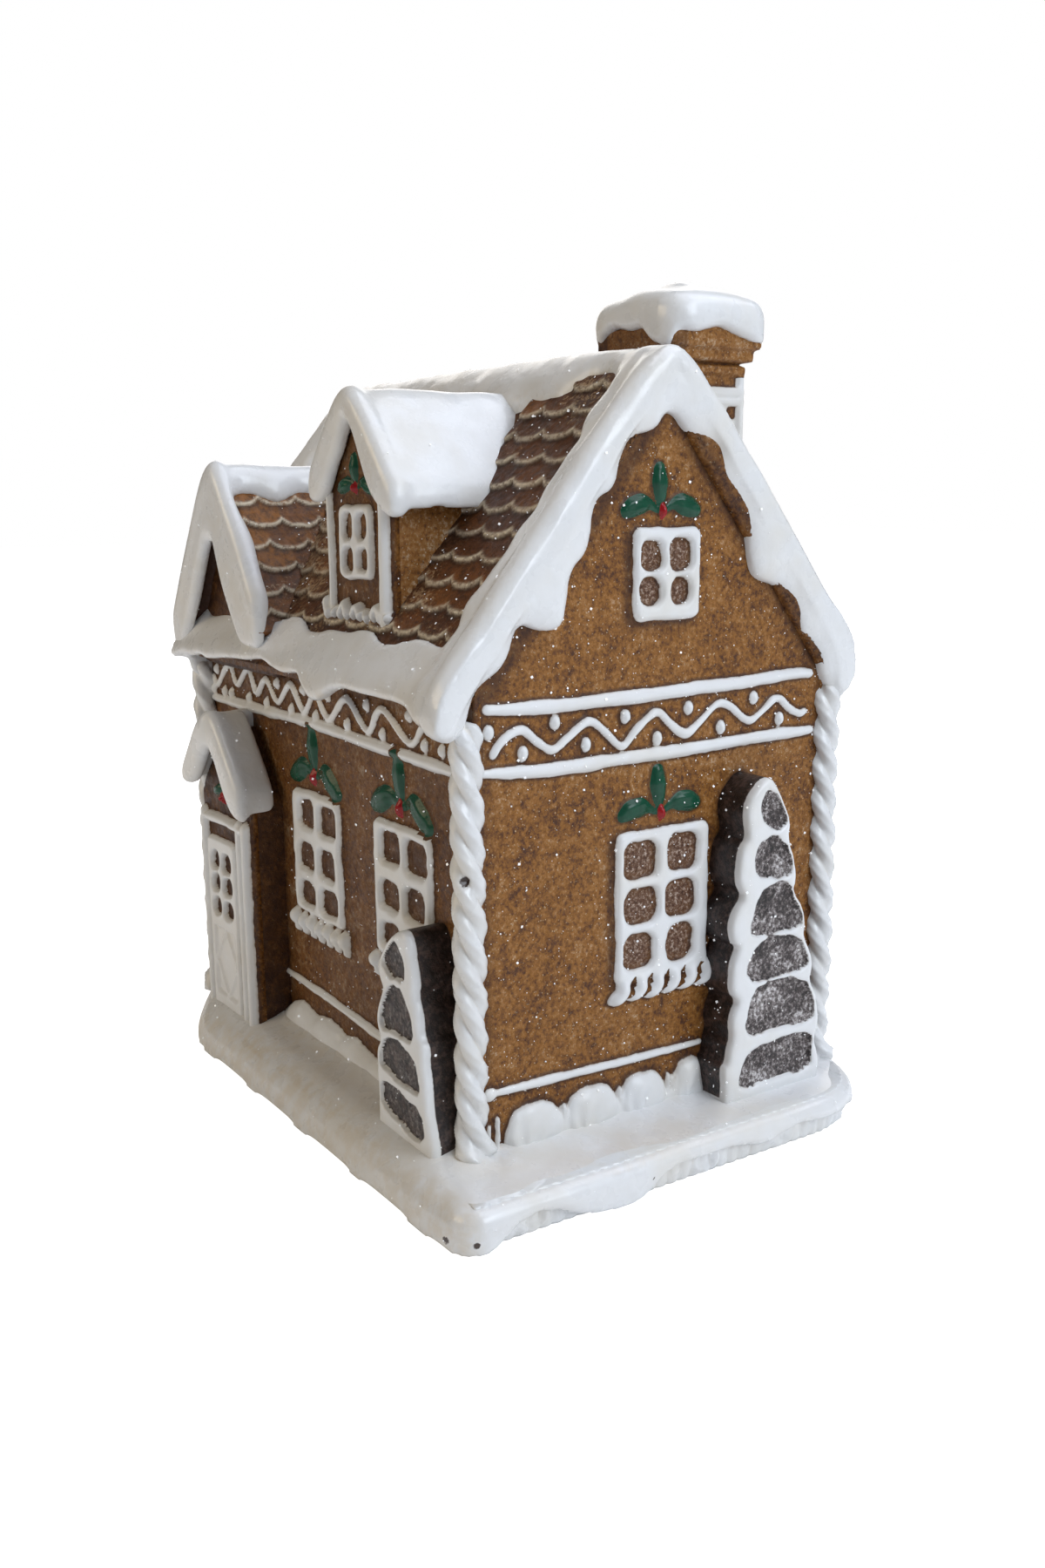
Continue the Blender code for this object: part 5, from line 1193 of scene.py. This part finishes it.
# lower panel: a shallow field with a faint diamond
pan = rrect(U, V, -6.4, 3.4, 9.0, 22.3, 1.0) + 0.1 * noise2(U, V, 1.4, 93)
R.H = np.where(pan < 0, R.H - 0.55 * np.clip(-pan / 0.5, 0, 1), R.H)
for a, b in (((-6.2, 15.6), (-1.5, 22.0)), ((-1.5, 22.0), (3.2, 15.6)), ((3.2, 15.6), (-1.5, 9.2)), ((-1.5, 9.2), (-6.2, 15.6))):
    R.stroke([a, b], 0.55, 0.95)
R.stroke([(-9.3, 5), (-9.2, 25), (-9.3, 43)], 1.1, 1.3)
R.stroke([(6.6, 5), (6.7, 25), (6.6, 43)], 1.0, 1.3)
R.stroke([(9.5, 5), (9.4, 25), (9.5, 43)], 1.1, 1.5)
piped(R, [(-9.8, 42.2), (0.0, 42.6), (9.8, 42.2)], 1.1, 1.5)
holly(R, 0.4, 47.4, 0.62, 0.5)
R.blob(-0.6, 46.6, 0.6, 0.7, 1.3, "berry")
R.blob(1.3, 46.4, 0.6, 0.7, 1.3, "berry")
R.mesh("porch_face", PF, lambda u, v: v < 57.8 - 1.05 * np.abs(u), M_GINGER)


# ------------------------------------------------------------------ chimney
def box_sd(X, Y, Z, cx, cy, hx, hy, z0, z1, k):
    return smax(smax(np.abs(X - cx) - hx, np.abs(Y - cy) - hy, k), np.maximum(z0 - Z, Z - z1), k)


CX, CY = 22.4, 22.3
HX, HY = 7.4, 6.6
lo = (9.5, 10.5, 88.0)
h = 0.46
X, Y, Z = grid(lo, (35.5, 34.0, 125.0), h)
shaft = box_sd(X, Y, Z, CX, CY, HX, HY, 88.6, 120.0, 0.7)
collar = box_sd(X, Y, Z, CX, CY, HX + 0.9, HY + 0.9, 117.2, 118.7, 0.5)
collar2 = box_sd(X, Y, Z, CX, CY, HX + 1.7, HY + 1.7, 119.1, 121.2, 0.5)
collar3 = box_sd(X, Y, Z, CX, CY, HX + 2.6, HY + 2.5, 121.0, 124.6, 0.6)
D = smin(smin(smin(shaft, collar, 0.4), collar2, 0.3), collar3, 0.4)
D = D + 0.10 * noise3(X, Y, Z, 2.2, 5)
pipes = None
for sx in (-1, 1):
    for sy in (-1, 1):
        d = np.hypot(X - CX - sx * HX, Y - CY - sy * HY) - 0.68
        pipes = d if pipes is None else np.minimum(pipes, d)
edge = np.maximum(np.abs(X - CX) - HX, np.abs(Y - CY) - HY)
for zz in (114.6, 113.1, 104.2):
    pipes = np.minimum(pipes, np.hypot(np.maximum(edge, -1.0), Z - zz) - 0.72)
pipes = np.maximum(pipes, np.maximum(Z - 117.2, 90.0 - Z))
D = smin(D, pipes, 0.25)


def chim_vals(V):
    x, y, z = V[:, 0] - CX, V[:, 1] - CY, V[:, 2]
    p = np.full(len(V), 9.0)
    for sx in (-1, 1):
        for sy in (-1, 1):
            p = np.minimum(p, np.hypot(x - sx * HX, y - sy * HY) - 0.95)
    m = np.maximum(np.abs(x) - HX, np.abs(y) - HY)
    p = np.minimum(p, np.maximum(np.abs(z - 113.85) - 1.45, m - 1.5))
    p = np.minimum(p, np.hypot(m, z - 104.2) - 1.0)
    # the patch of snow blown against the shaft below its band
    drift = (z - 113.0) + 0.3 * np.sin(y * 1.3)
    dot = np.hypot(y - 5.2, z - 111.7) - 1.35
    p = np.where(x > HX - 1.2, np.minimum(p, np.maximum(drift, -dot)), p)
    p = np.where(z > 117.0, 9.0, p)
    # painted shade under the top collar and on the shaft's -X and -Y faces; painted light makes the collars lighter and
    # more frosted
    glow = 0.5 * (z > 117.2)
    return {"icing": np.clip(1 - p, 0, 2), "wash_and_shade": np.clip(0.8 * np.exp(-np.abs(z - 118.9) / 0.35) + 0.55 * (x < -HX + 0.4) + 0.6 * (y < -HY + 0.4) - glow * 0.3, 0, 0.85), "frost": np.full(len(V), 0.3) + glow}


sdf_object("chimney_body", D.astype(f4), lo, h, M_GINGER, chim_vals)

lo = (9.3, 10.6, 118.0)
h = 0.48
X, Y, Z = grid(lo, (35.5, 34.0, 132.6), h)
ang = np.arctan2(Y - CY, X - CX)
dxc, dyc = X - CX, Y - CY
side_d = np.hypot(np.maximum(np.abs(dxc) - 6.9, 0), np.maximum(np.abs(dyc) - 5.7, 0)) + np.minimum(np.maximum(np.abs(dxc) - 6.9, np.abs(dyc) - 5.7), 0) - 4.7
ye = np.interp(dyc[0, :, 0], [-11.5, -10.1, -9.8, -5.0, -0.6, 3.2, 7.1, 9.6, 11.5], [120.2, 120.4, 123.2, 123.0, 124.1, 122.9, 121.9, 121.0, 120.6])[None, :, None]
xe = np.interp(dxc[:, 0, 0], [-11.5, -10.9, -8.6, -4.5, -0.7, 2.6, 4.9, 9.4, 11.5], [124.0, 125.0, 122.9, 124.8, 123.8, 124.1, 121.8, 120.3, 120.2])[:, None, None]
onx = np.abs(dxc) / 11.4 > np.abs(dyc) / 10.3
low = np.where(onx, ye + 0 * dxc, xe + 0 * dyc)
low = np.where((dxc < -8) & (np.abs(dyc) < 9), 122.4 + 1.0 * np.sin(dyc * 0.9), low)
low = np.where((dyc > 7) & (np.abs(dxc) < 9), 122.2 + 1.0 * np.sin(dxc * 0.8 + 1.0), low)
for _ in range(3):
    low = 0.25 * np.roll(low, 1, 0) + 0.5 * low + 0.25 * np.roll(low, -1, 0)
    low = 0.25 * np.roll(low, 1, 1) + 0.5 * low + 0.25 * np.roll(low, -1, 1)
topz = 130.6 - 0.20 * noise2(X[:, :, 0], Y[:, :, 0], 5.0, 12)[:, :, None] - 0.012 * (dxc ** 2 + dyc ** 2)
D = smax(side_d, Z - topz, 3.4)
D = smax(D, low - Z, 2.0)
inner = (np.maximum(np.abs(dxc) - 9.6, np.abs(dyc) - 8.6))
D = smax(D, -np.maximum(inner, Z - 124.0), 0.5)
tip = np.hypot(np.hypot(dxc, dyc) * 0.6, (Z - 130.0)) - 1.85
D = smin(D, tip, 1.2)
D = np.maximum(D, Z - HIGH - 1.9)


def cap_vals(V):
    d = np.linalg.norm(V - np.array([CX + 0.6, CY - 1.0, HIGH + 1.5]), axis=1)
    return {"chip": np.exp(-(d / 0.55) ** 2) * 1.0, "tan": np.zeros(len(V))}


sdf_object("chimney_snow", D.astype(f4), lo, h, M_SNOW, cap_vals)


# ------------------------------------------------------------------ twisted columns
def column(name, cx, cy, seed, top, chip=None):
    """Three twisted strands with fine grooves along them."""
    n, step = (52, 0.34) if cx > 0 else (36, 0.45)
    z = np.arange(GROUND - 1.6, top, step)
    th = np.linspace(0, 2 * math.pi, n, endpoint=False)
    T, Zz = np.meshgrid(th, z)
    turn = -2 * math.pi * Zz / (3 * 5.4) + seed * 1.3 + 0.12 * noise2(Zz, Zz * 0, 6.0, seed + 53)
    r = np.zeros_like(T)
    c0, a0 = 1.10, 1.30
    loc = np.zeros_like(T)
    for k in range(3):
        d = (T - turn - k * 2 * math.pi / 3 + math.pi) % (2 * math.pi) - math.pi
        s = c0 * np.cos(d) + np.sqrt(np.maximum(a0 * a0 - (c0 * np.sin(d)) ** 2, 0))
        loc = np.where(s > r, d, loc)
        r = np.maximum(r, s)
    ribs = 0.11 * np.cos(loc * 8.5 + Zz * 0.5 + 1.2 * noise2(T, Zz, 3.0, seed + 54)) * np.clip((r - 1.5) / 0.5, 0, 1)
    r = r + ribs + 0.05 * noise2(T * 2.2, Zz, 2.0, seed + 50)
    r *= 1 + 0.03 * noise2(Zz * 0 + seed, Zz, 9.0, seed + 51)
    r *= 1 + 0.45 * np.exp(-np.maximum(Zz - GROUND - 1.2, 0) / 0.9)
    r *= np.sqrt(1 - np.clip((Zz - (top - 2.6)) / 2.6, 0, 0.985) ** 2)
    ox = 0.2 * noise2(Zz * 0, Zz, 13.0, seed + 52)
    V = np.stack([cx + ox + r * np.cos(T), cy + r * np.sin(T), Zz], -1)
    V[-1] = [cx, cy, z[-1]]
    m = len(z)
    i, j = np.meshgrid(np.arange(m - 1), np.arange(n), indexing="ij")
    Q = np.stack([i * n + j, i * n + (j + 1) % n, (i + 1) * n + (j + 1) % n, (i + 1) * n + j], -1).reshape(-1, 4)
    V = V.reshape(-1, 3)
    # painted shade: tan in the grooves between the strands
    groove = np.clip((1.60 - r) / 0.35, 0, 1).ravel()
    ch = np.zeros(len(V))
    for p, s in chip or []:
        p = V[np.argmin(np.linalg.norm(V - np.array(p), axis=1))].copy()
        ch = np.maximum(ch, np.exp(-(np.linalg.norm(V - p, axis=1) / s) ** 2))
    pull = np.clip((ch - 0.5) / 0.35, 0, 1)[:, None] * 0.45
    V = V - pull * np.stack([np.cos(T).ravel(), np.sin(T).ravel(), np.zeros(T.size)], 1)
    return mesh_object(name, V, Q, M_SNOW, {"chip": ch, "tan": groove * 0.8}, ngons=[list(range(n))[::-1], [(m - 1) * n + k for k in range(n)]])


column("column_near", 46.8, -34.0, 0, 69.5, [((48.6, -35.5, 47.7), 1.15)])
column("column_right", 46.8, 33.1, 1, 69.5)
column("column_door_far", -46.8, -34.0, 2, 69.5)
column("column_back_far", -46.8, 34.0, 3, 69.5)


# ------------------------------------------------------------------ trees
def tree(name, fr, outline, z0, depth, panes, seed, painted_shade=0.0):
    """A flat-fronted tree block: lobed white outline, frosted dark panes, dark sides."""
    P = chaikin(outline, 1)
    h = 0.36
    ua, ub = P[:, 0].min() - 1.2, P[:, 0].max() + 1.2
    lo = (ua, z0 - 1.0, -1.2)
    U, V, W = grid(lo, (ub, P[:, 1].max() + 1.2, depth + 1.2), h)
    o2 = poly_sd(P, U[:, :, 0], V[:, :, 0]) + 0.08 * noise2(U[:, :, 0], V[:, :, 0], 1.6, seed)
    p2 = np.full(o2.shape, 9.0, f4)
    for q in panes:
        p2 = np.minimum(p2, poly_sd(chaikin(q, 1), U[:, :, 0], V[:, :, 0]) + 0.12 * noise2(U[:, :, 0], V[:, :, 0], 1.1, seed + 1))
    p2 = np.maximum(p2 - 0.66 + 0.20 * noise2(U[:, :, 0], V[:, :, 0], 1.5, seed + 5), o2 + 0.74)
    o, p = o2[:, :, None], p2[:, :, None]
    D = smax(o - 0.02 * (depth - W), W - depth, 1.0)
    pocket = smax(p, (depth - 0.8) - W + 0.12 * noise2(U[:, :, 0], V[:, :, 0], 0.9, seed + 2)[:, :, None], 0.4)
    D = smax(D, -pocket, 0.3)
    D = np.maximum(np.maximum(D, -W - 0.9), z0 - V)
    Vv, Q = nets(D.astype(f4), lo, h)
    # paint: the front rim and bars are white, the pockets dark grey, the sides dark; a tree in shade gets painted shade
    # over its whole block
    n1, n2 = np.clip(((Vv[:, 0] - lo[0]) / h).astype(int), 0, o2.shape[0] - 1), np.clip(((Vv[:, 1] - lo[1]) / h).astype(int), 0, o2.shape[1] - 1)
    pv = p2[n1, n2]
    w = Vv[:, 2]
    foot = np.clip((z0 + 2.4 - Vv[:, 1]) / 0.8, 0, 1) * (w > 1.5)
    icing = np.minimum(np.clip(w - (depth - 1.5), -1, 1), np.clip(pv - 0.02 + (w - depth + 0.5) * 0.5, -1, 1)) + 1
    icing = np.maximum(icing, foot * 1.3)
    side = (np.clip((depth - 1.2 - w) / 0.4, 0, 1)) * (pv > 0.1)
    P3 = place(fr, Vv[:, 0], Vv[:, 1], Vv[:, 2])
    if np.dot(np.cross(fr[1], fr[2]), fr[3]) < 0:
        Q = Q[:, ::-1]
    return mesh_object(name, P3, Q, M_TREE, {"icing": icing, "side": np.maximum(side, painted_shade)})


tree("tree_gable", GABLE, TREE_GABLE, 5.2, 7.0,
     [[(15.2, 54.7), (14.1, 52.6), (14.5, 51.0), (16.9, 49.1), (18.6, 50.0), (19.0, 50.8)], [(14.6, 47.1), (13.2, 45.1), (13.6, 42.3), (16.6, 41.5), (19.8, 41.4), (19.9, 42.5), (17.9, 46.7)],
      [(16.7, 39.8), (14.3, 38.6), (12.7, 34.3), (13.0, 32.8), (17.5, 32.7), (22.6, 32.7), (22.3, 34.4), (19.7, 39.5)], [(15.2, 31.3), (12.6, 28.8), (12.2, 26.0), (14.8, 25.3), (19.0, 25.6), (23.6, 25.9), (23.3, 27.6), (21.6, 30.6)],
      [(14.2, 24.0), (12.8, 21.7), (11.9, 17.4), (13.9, 16.7), (18.2, 17.0), (25.6, 16.3), (25.1, 19.6), (22.9, 23.4)], [(13.4, 13.5), (11.9, 12.4), (10.6, 8.9), (12.3, 8.5), (16.0, 9.0), (25.1, 8.3), (25.2, 11.3), (25.1, 13.6), (20.7, 14.2)]], 61)
# the door-side tree is darkened as painted shade
tree("tree_door_side", FRONT, TREE_FRONT, 5.0, 7.1,
     [[(34.1, 35.4), (32.4, 32.8), (33.9, 31.5), (35.6, 32.0), (37.9, 31.8), (38.0, 34.2), (36.3, 36.2)], [(34.6, 29.4), (32.3, 26.8), (30.8, 22.9), (34.2, 23.3), (38.0, 23.2), (39.9, 23.4), (39.6, 26.3), (37.4, 29.2)],
      [(32.8, 21.1), (30.6, 17.1), (33.0, 16.6), (35.1, 16.0), (39.1, 15.7), (41.6, 15.9), (41.0, 19.0), (38.4, 20.9)], [(31.2, 13.1), (30.9, 10.4), (34.7, 9.8), (39.7, 8.8), (42.6, 9.0), (42.2, 12.4), (37.0, 13.3), (33.2, 13.6)]], 62, painted_shade=0.75)


# ------------------------------------------------------------------ snow slab
def base_outline(r_list=(20.0, 5.2, 15.0, 12.0), x0=-48.6, x1=61.75, y0=-45.0, y1=36.6):
    arcs = (((x0 + r_list[0], y0 + r_list[0]), r_list[0], 180), ((x1 - r_list[1], y0 + r_list[1]), r_list[1], 270),
            ((x1 - r_list[2], y1 - r_list[2]), r_list[2], 0), ((x0 + r_list[3], y1 - r_list[3]), r_list[3], 90))
    path = []
    for (cx, cy), rr, a0 in arcs:
        for k in range(13):
            a = math.radians(a0 + 90 * k / 12)
            path.append((cx + rr * math.cos(a), cy + rr * math.sin(a)))
    path = np.array(path + [path[0]])
    seg = np.hypot(*np.diff(path, axis=0).T)
    s = np.concatenate([[0], np.cumsum(seg)])
    n = int(s[-1] / 1.1)
    t = np.arange(n) * s[-1] / n
    return np.stack([np.interp(t, s, path[:, 0]), np.interp(t, s, path[:, 1])], 1), t


OUTL, S_ARC = base_outline()
mid = OUTL.mean(0)
X_LIP = [(-40.5, 0.2), (-37.9, 0.8), (-35.9, 3.8), (-33.4, 5.2), (-30.5, 4.9), (-26.8, 1.7), (-20.7, 0.2), (-16.7, 0.0), (-13.5, 0.2), (-11.8, 2.6), (-9.0, 4.9), (-5.3, 5.2), (-0.5, 5.2), (4.5, 3.9), (8.6, 2.0), (12.2, 3.1), (15.8, 4.4), (20.1, 3.4), (24.5, 3.1), (30.0, 4.2)]
LIP = np.zeros(len(OUTL))
for i, (x, y) in enumerate(OUTL):
    if x > 56.0 and -41.5 < y < 30.0:
        LIP[i] = min(np.interp(y, *zip(*X_LIP)), 3.7)
    elif y < -30.0:
        LIP[i] = -2.0
    else:
        LIP[i] = 2.9 + 1.9 * float(wave(S_ARC[i] * 0.24, 0.9))
LIP = np.convolve(np.concatenate([LIP[-4:], LIP, LIP[:4]]), np.exp(-np.arange(-4, 5) ** 2 / 5.0) / np.exp(-np.arange(-4, 5) ** 2 / 5.0).sum(), "valid")

h = 0.68
lo = (-50.0, -46.4, -0.6)
X, Y, Z = grid(lo, (63.2, 38.0, 10.2), h)
x2, y2 = X[:, :, 0], Y[:, :, 0]
q2, low2 = poly_sd(OUTL, x2, y2, LIP)
wob = 0.35 * noise2(x2, y2, 12.0, 41) + 0.10 * noise2(x2, y2, 4.0, 42)
wall_d = np.maximum(np.abs(x2) - WALL_X, np.abs(y2) - WALL_Y)
hill = 0.9 * np.exp(-np.clip(wall_d, 0, 99) / 2.6)
door_side = np.clip((-32.5 - y2) / 1.5, 0, 1) * np.clip((52.0 - x2) / 8.0, 0, 1)
slope = 2.7 * np.clip((y2 + 42.0) / 9.0, 0, 1) * door_side
topz = 5.75 + 0.75 * (1 - np.exp(np.minimum(q2, 0) / 4.0)) + 0.4 * wob + hill + slope
folds = 0.35 * np.sin(x2 * 0.33 + 1.0) + 0.25 * noise2(x2, y2 * 0, 6.0, 45)
q, low3, top3 = q2[:, :, None], low2[:, :, None], topz[:, :, None]
near = _fade(np.clip((-35.5 - y2) / 6.0, 0, 1) * np.clip((62.5 - x2) / 9.0, 0, 1))[:, :, None]
D1 = smax(q + 0.25, Z - top3, 2.6)
D2 = smax(q + 0.05 + 0.35 * folds[:, :, None] * np.clip(1 - Z / 4.0, 0, 1), Z - top3 - 0.5, 6.0)
D = D1 + (D2 - D1) * near
low_eff = (low3 - 0.15) - 8.0 * np.clip((-q - 2.0) / 3.0, 0, 1)
D = smax(D, low_eff - Z, 0.5)
core = np.maximum(q + 3.0, Z - 4.6)
D = smin(D, np.maximum(core, 0.25 - Z), 0.4)
D = np.maximum(D, 0.04 - Z)


def base_vals(V):
    ch = np.zeros(len(V))
    for p, s in CHIPS:
        ch = np.maximum(ch, np.exp(-(np.linalg.norm((V - np.array(p)) * np.array([0.8, 1, 1.2]), axis=1) / s) ** 2))
    # tan in broad patches on top is cream paint; the door-side front is tinted as painted shade
    t = np.clip(noise2(V[:, 0], V[:, 1], 14.0, 44) * 0.6 + 0.25, 0, 1) * (V[:, 2] > 5.2)
    return {"chip": ch, "tan": t * 0.55 + 0.5 * np.clip((-40.5 - V[:, 1]) / 2.5, 0, 1)}


CHIPS = [((57.0, -44.3, 1.6), 1.1), ((61.0, -42.2, 1.7), 0.9), ((61.7, -12.7, 3.2), 0.45), ((61.7, -11.6, 2.9), 0.3), ((61.5, 4.4, 2.2), 0.42)]
sdf_object("snow_base", D.astype(f4), lo, h, M_SNOW, base_vals)


def skirt():
    """The ribbed foot under the slab's lip."""
    n = 1050
    s_tot = S_ARC[-1] + 1.1
    t = np.arange(n) * s_tot / n
    ex = np.append(OUTL[:, 0], OUTL[0, 0])
    ey = np.append(OUTL[:, 1], OUTL[0, 1])
    ss = np.append(S_ARC, s_tot)
    x, y = np.interp(t, ss, ex), np.interp(t, ss, ey)
    lipv = np.interp(t, ss, np.append(LIP, LIP[0]))
    tx, ty = np.roll(x, -1) - np.roll(x, 1), np.roll(y, -1) - np.roll(y, 1)
    L = np.hypot(tx, ty)
    nx, ny = ty / L, -tx / L
    k = np.ones(11) / 11
    nx, ny = (np.convolve(np.concatenate([a[-5:], a, a[:5]]), k, "valid") for a in (nx, ny))
    rows = []
    lobe = 0.55 * np.abs(np.sin(t * math.pi / 2.05 + 0.9 * noise2(t, t * 0, 7.0, 3))) ** 0.7
    big = 0.35 * np.clip(np.sin(t * 2 * math.pi / 15.5), 0, 1)
    for z in np.linspace(0.0, 6.2, 13):
        ring = np.exp(-((np.hypot(((t % 15.5) - 7.7) / 3.1, (z - 2.6) / 2.4) - 0.8) / 0.16) ** 2) * 0.6
        inset = 2.45 - lobe * (0.6 + 0.4 * math.sin(math.pi * min(z / 5.0, 1.0))) - big * math.sin(math.pi * min(z / 5.5, 1.0)) - ring + 0.25 * (z < 0.1)
        inset = inset + 3.2 * _fade(np.clip((-34.0 - y) / 5.0, 0, 1)) * np.clip((61.0 - x) / 4.0, 0, 1)
        rows.append(np.stack([x - nx * inset, y - ny * inset, np.full(n, z)], 1))
    V = np.concatenate(rows)
    m = len(rows)
    i, j = np.meshgrid(np.arange(m - 1), np.arange(n), indexing="ij")
    Q = np.stack([i * n + j, i * n + (j + 1) % n, (i + 1) * n + (j + 1) % n, (i + 1) * n + j], -1).reshape(-1, 4)
    # painted shade: tan in the grooves of the skirt
    groove = np.tile(np.clip((0.25 - lobe) / 0.25, 0, 1), m)
    mesh_object("base_skirt", V, Q, M_SNOW, {"tan": groove * 0.3, "chip": np.zeros(len(V))}, ngons=[list(range(n))[::-1], [(m - 1) * n + k for k in range(n)]])


skirt()


# ------------------------------------------------------------------ glitter
def glitter(plan):
    rng = np.random.RandomState(5)
    VV, FF = [], []
    flake = np.array([(math.cos(a), math.sin(a)) for a in np.arange(4) * math.pi / 2])
    for ob, count, rmin, rmax in plan:
        me = ob.data
        n = len(me.polygons)
        area, cen, nor = np.zeros(n), np.zeros(n * 3), np.zeros(n * 3)
        me.polygons.foreach_get("area", area)
        me.polygons.foreach_get("center", cen)
        me.polygons.foreach_get("normal", nor)
        cen, nor = cen.reshape(-1, 3) * 1000 - SHIFT, nor.reshape(-1, 3)
        area = np.where(area > 4e-6, 0, area)
        area = np.where(cen[:, 2] < 1.0, 0, area)
        pick = rng.choice(n, count, p=area / area.sum())
        for f in pick:
            N = nor[f] + (rng.rand(3) - 0.5) * 0.9
            N /= np.linalg.norm(N)
            A = np.cross(N, [0.3, 0.5, 0.8])
            A /= np.linalg.norm(A)
            B = np.cross(N, A)
            r = rmin + (rmax - rmin) * rng.rand() ** 4.5
            ph = rng.rand() * 3
            c, s_ = math.cos(ph), math.sin(ph)
            base = len(VV) * 8
            ring = np.array([(u * c - v * s_, u * s_ + v * c) for u, v in flake]) * r
            P = cen[f] + nor[f] * (0.10 + 0.25 * r)
            top = P + ring[:, :1] * A + ring[:, 1:] * B + N * 0.04
            bot = P + ring[:, :1] * A + ring[:, 1:] * B - N * 0.04
            VV.append(np.vstack([top, bot]))
            FF.append(([base + k for k in range(4)], [base + 7 - k for k in range(4)], [[base + 4 + k, base + 4 + (k + 1) % 4, base + (k + 1) % 4, base + k] for k in range(4)]))
    V = np.vstack(VV)
    lo_v = np.array([cad_lo.x, cad_lo.y, cad_lo.z]) * 1000 - SHIFT
    hi_v = np.array([cad_hi.x, cad_hi.y, cad_hi.z]) * 1000 - SHIFT
    V = np.clip(V, lo_v - 0.3, hi_v + 0.3)
    V[:, 2] = np.maximum(V[:, 2], 0.02)
    quads = [q for f in FF for q in f[2]]
    ngons = [g for f in FF for g in f[:2]]
    return mesh_object("glitter", V, np.array(quads), M_GLIT, ngons=ngons, smooth=False)


by = {p.name: p for p in pieces}
glitter([(by["wall_gable"], 1000, 0.06, 0.25), (by["wall_far_gable"], 220, 0.06, 0.25), (by["wall_door_side"], 560, 0.06, 0.25), (by["wall_back"], 220, 0.06, 0.25),
         (by["tiles_door_side"], 480, 0.06, 0.25), (by["tiles_back"], 170, 0.06, 0.25), (by["snow_roof_gable_half"], 120, 0.07, 0.24), (by["snow_roof_far_half"], 120, 0.07, 0.24),
         (by["snow_base"], 180, 0.07, 0.25), (by["tree_gable"], 320, 0.06, 0.25), (by["tree_door_side"], 60, 0.07, 0.26), (by["dormer_body"], 240, 0.06, 0.25),
         (by["snow_dormer"], 50, 0.07, 0.24), (by["snow_porch"], 30, 0.08, 0.30), (by["chimney_body"], 60, 0.07, 0.25), (by["snow_wing"], 30, 0.08, 0.25), (by["tiles_wing_right"], 40, 0.07, 0.25)])

# ------------------------------------------------------------------ stage, light, camera
me = bpy.data.meshes.new("floor")
s = 3.0
me.from_pydata([(-s, -s, 0), (s, -s, 0), (s, s, 0), (-s, s, 0)], [], [(0, 1, 2, 3)])
fm = bpy.data.materials.new("pale_floor")
fm.use_nodes = True
fb = fm.node_tree.nodes["Principled BSDF"]
fb.inputs["Base Color"].default_value = (0.93, 0.93, 0.93, 1)
fb.inputs["Roughness"].default_value = 0.9
fb.inputs["Emission Color"].default_value = (1, 1, 1, 1)
ft = fm.node_tree
flp = ft.nodes.new("ShaderNodeLightPath")
fmr = ft.nodes.new("ShaderNodeMapRange")
fmr.inputs["To Min"].default_value = 0.06
fmr.inputs["To Max"].default_value = 0.95
ft.links.new(flp.outputs["Is Camera Ray"], fmr.inputs["Value"])
ft.links.new(fmr.outputs["Result"], fb.inputs["Emission Strength"])
me.materials.append(fm)
floor = bpy.data.objects.new("floor", me)
floor.location = (0, 0, cad_lo.z - 0.0002)
bpy.context.scene.collection.objects.link(floor)


def area(name, loc, target, size, power, color):
    l = bpy.data.lights.new(name, "AREA")
    l.shape = "RECTANGLE"
    l.size, l.size_y = size
    l.energy = power
    l.color = color
    o = bpy.data.objects.new(name, l)
    o.location = loc
    o.rotation_euler = (Vector(target) - Vector(loc)).to_track_quat("-Z", "Y").to_euler()
    bpy.context.scene.collection.objects.link(o)


area("key", (0.75, 0.20, 0.50), (0, 0, 0.06), (0.5, 0.5), 4.1, (0.85, 0.92, 1.0))
area("top", (0.20, 0.32, 0.90), (0, 0, 0.06), (0.8, 0.8), 4.75, (0.93, 0.97, 1.08))
area("door_fill", (-0.28, -0.80, 0.48), (0, 0, 0.06), (0.6, 0.4), 2.05, (1.0, 0.81, 0.54))
area("far_fill", (-0.7, 0.5, 0.4), (0, 0, 0.06), (0.8, 0.6), 2.5, (1.0, 0.97, 0.93))

world = bpy.data.worlds.new("studio")
bpy.context.scene.world = world
world.use_nodes = True
wt = world.node_tree
bg = wt.nodes["Background"]
bg.inputs["Color"].default_value = (1, 1, 1, 1)
lp = wt.nodes.new("ShaderNodeLightPath")
mr = wt.nodes.new("ShaderNodeMapRange")
mr.inputs["To Min"].default_value = 0.11
mr.inputs["To Max"].default_value = 1.0
wt.links.new(lp.outputs["Is Camera Ray"], mr.inputs["Value"])
wt.links.new(mr.outputs["Result"], bg.inputs["Strength"])

cam_data = bpy.data.cameras.new("camera")
cam_data.sensor_width = 36.0
cam_data.lens = 36.0 * 1628.26 / 1800.0
cam_data.shift_x = (600.0 - 597.16) / 1800.0
cam_data.shift_y = (914.03 - 900.0) / 1800.0
cam_data.clip_start = 0.01
cam = bpy.data.objects.new("camera", cam_data)
bpy.context.scene.collection.objects.link(cam)
yaw, pitch, roll = (math.radians(a) for a in (33.5155, 11.9017, -0.5374))
fw = Vector((-math.cos(yaw) * math.cos(pitch), math.sin(yaw) * math.cos(pitch), -math.sin(pitch)))
rt = fw.cross(Vector((0, 0, 1))).normalized()
up = rt.cross(fw)
rt, up = math.cos(roll) * rt + math.sin(roll) * up, -math.sin(roll) * rt + math.cos(roll) * up
m = Matrix((rt, up, -fw)).transposed().to_4x4()
m.translation = Vector((np.array([207.02, -131.47, 98.48]) + SHIFT) * 0.001)
cam.matrix_world = m
bpy.context.scene.camera = cam
bpy.context.scene.view_settings.view_transform = "Standard"
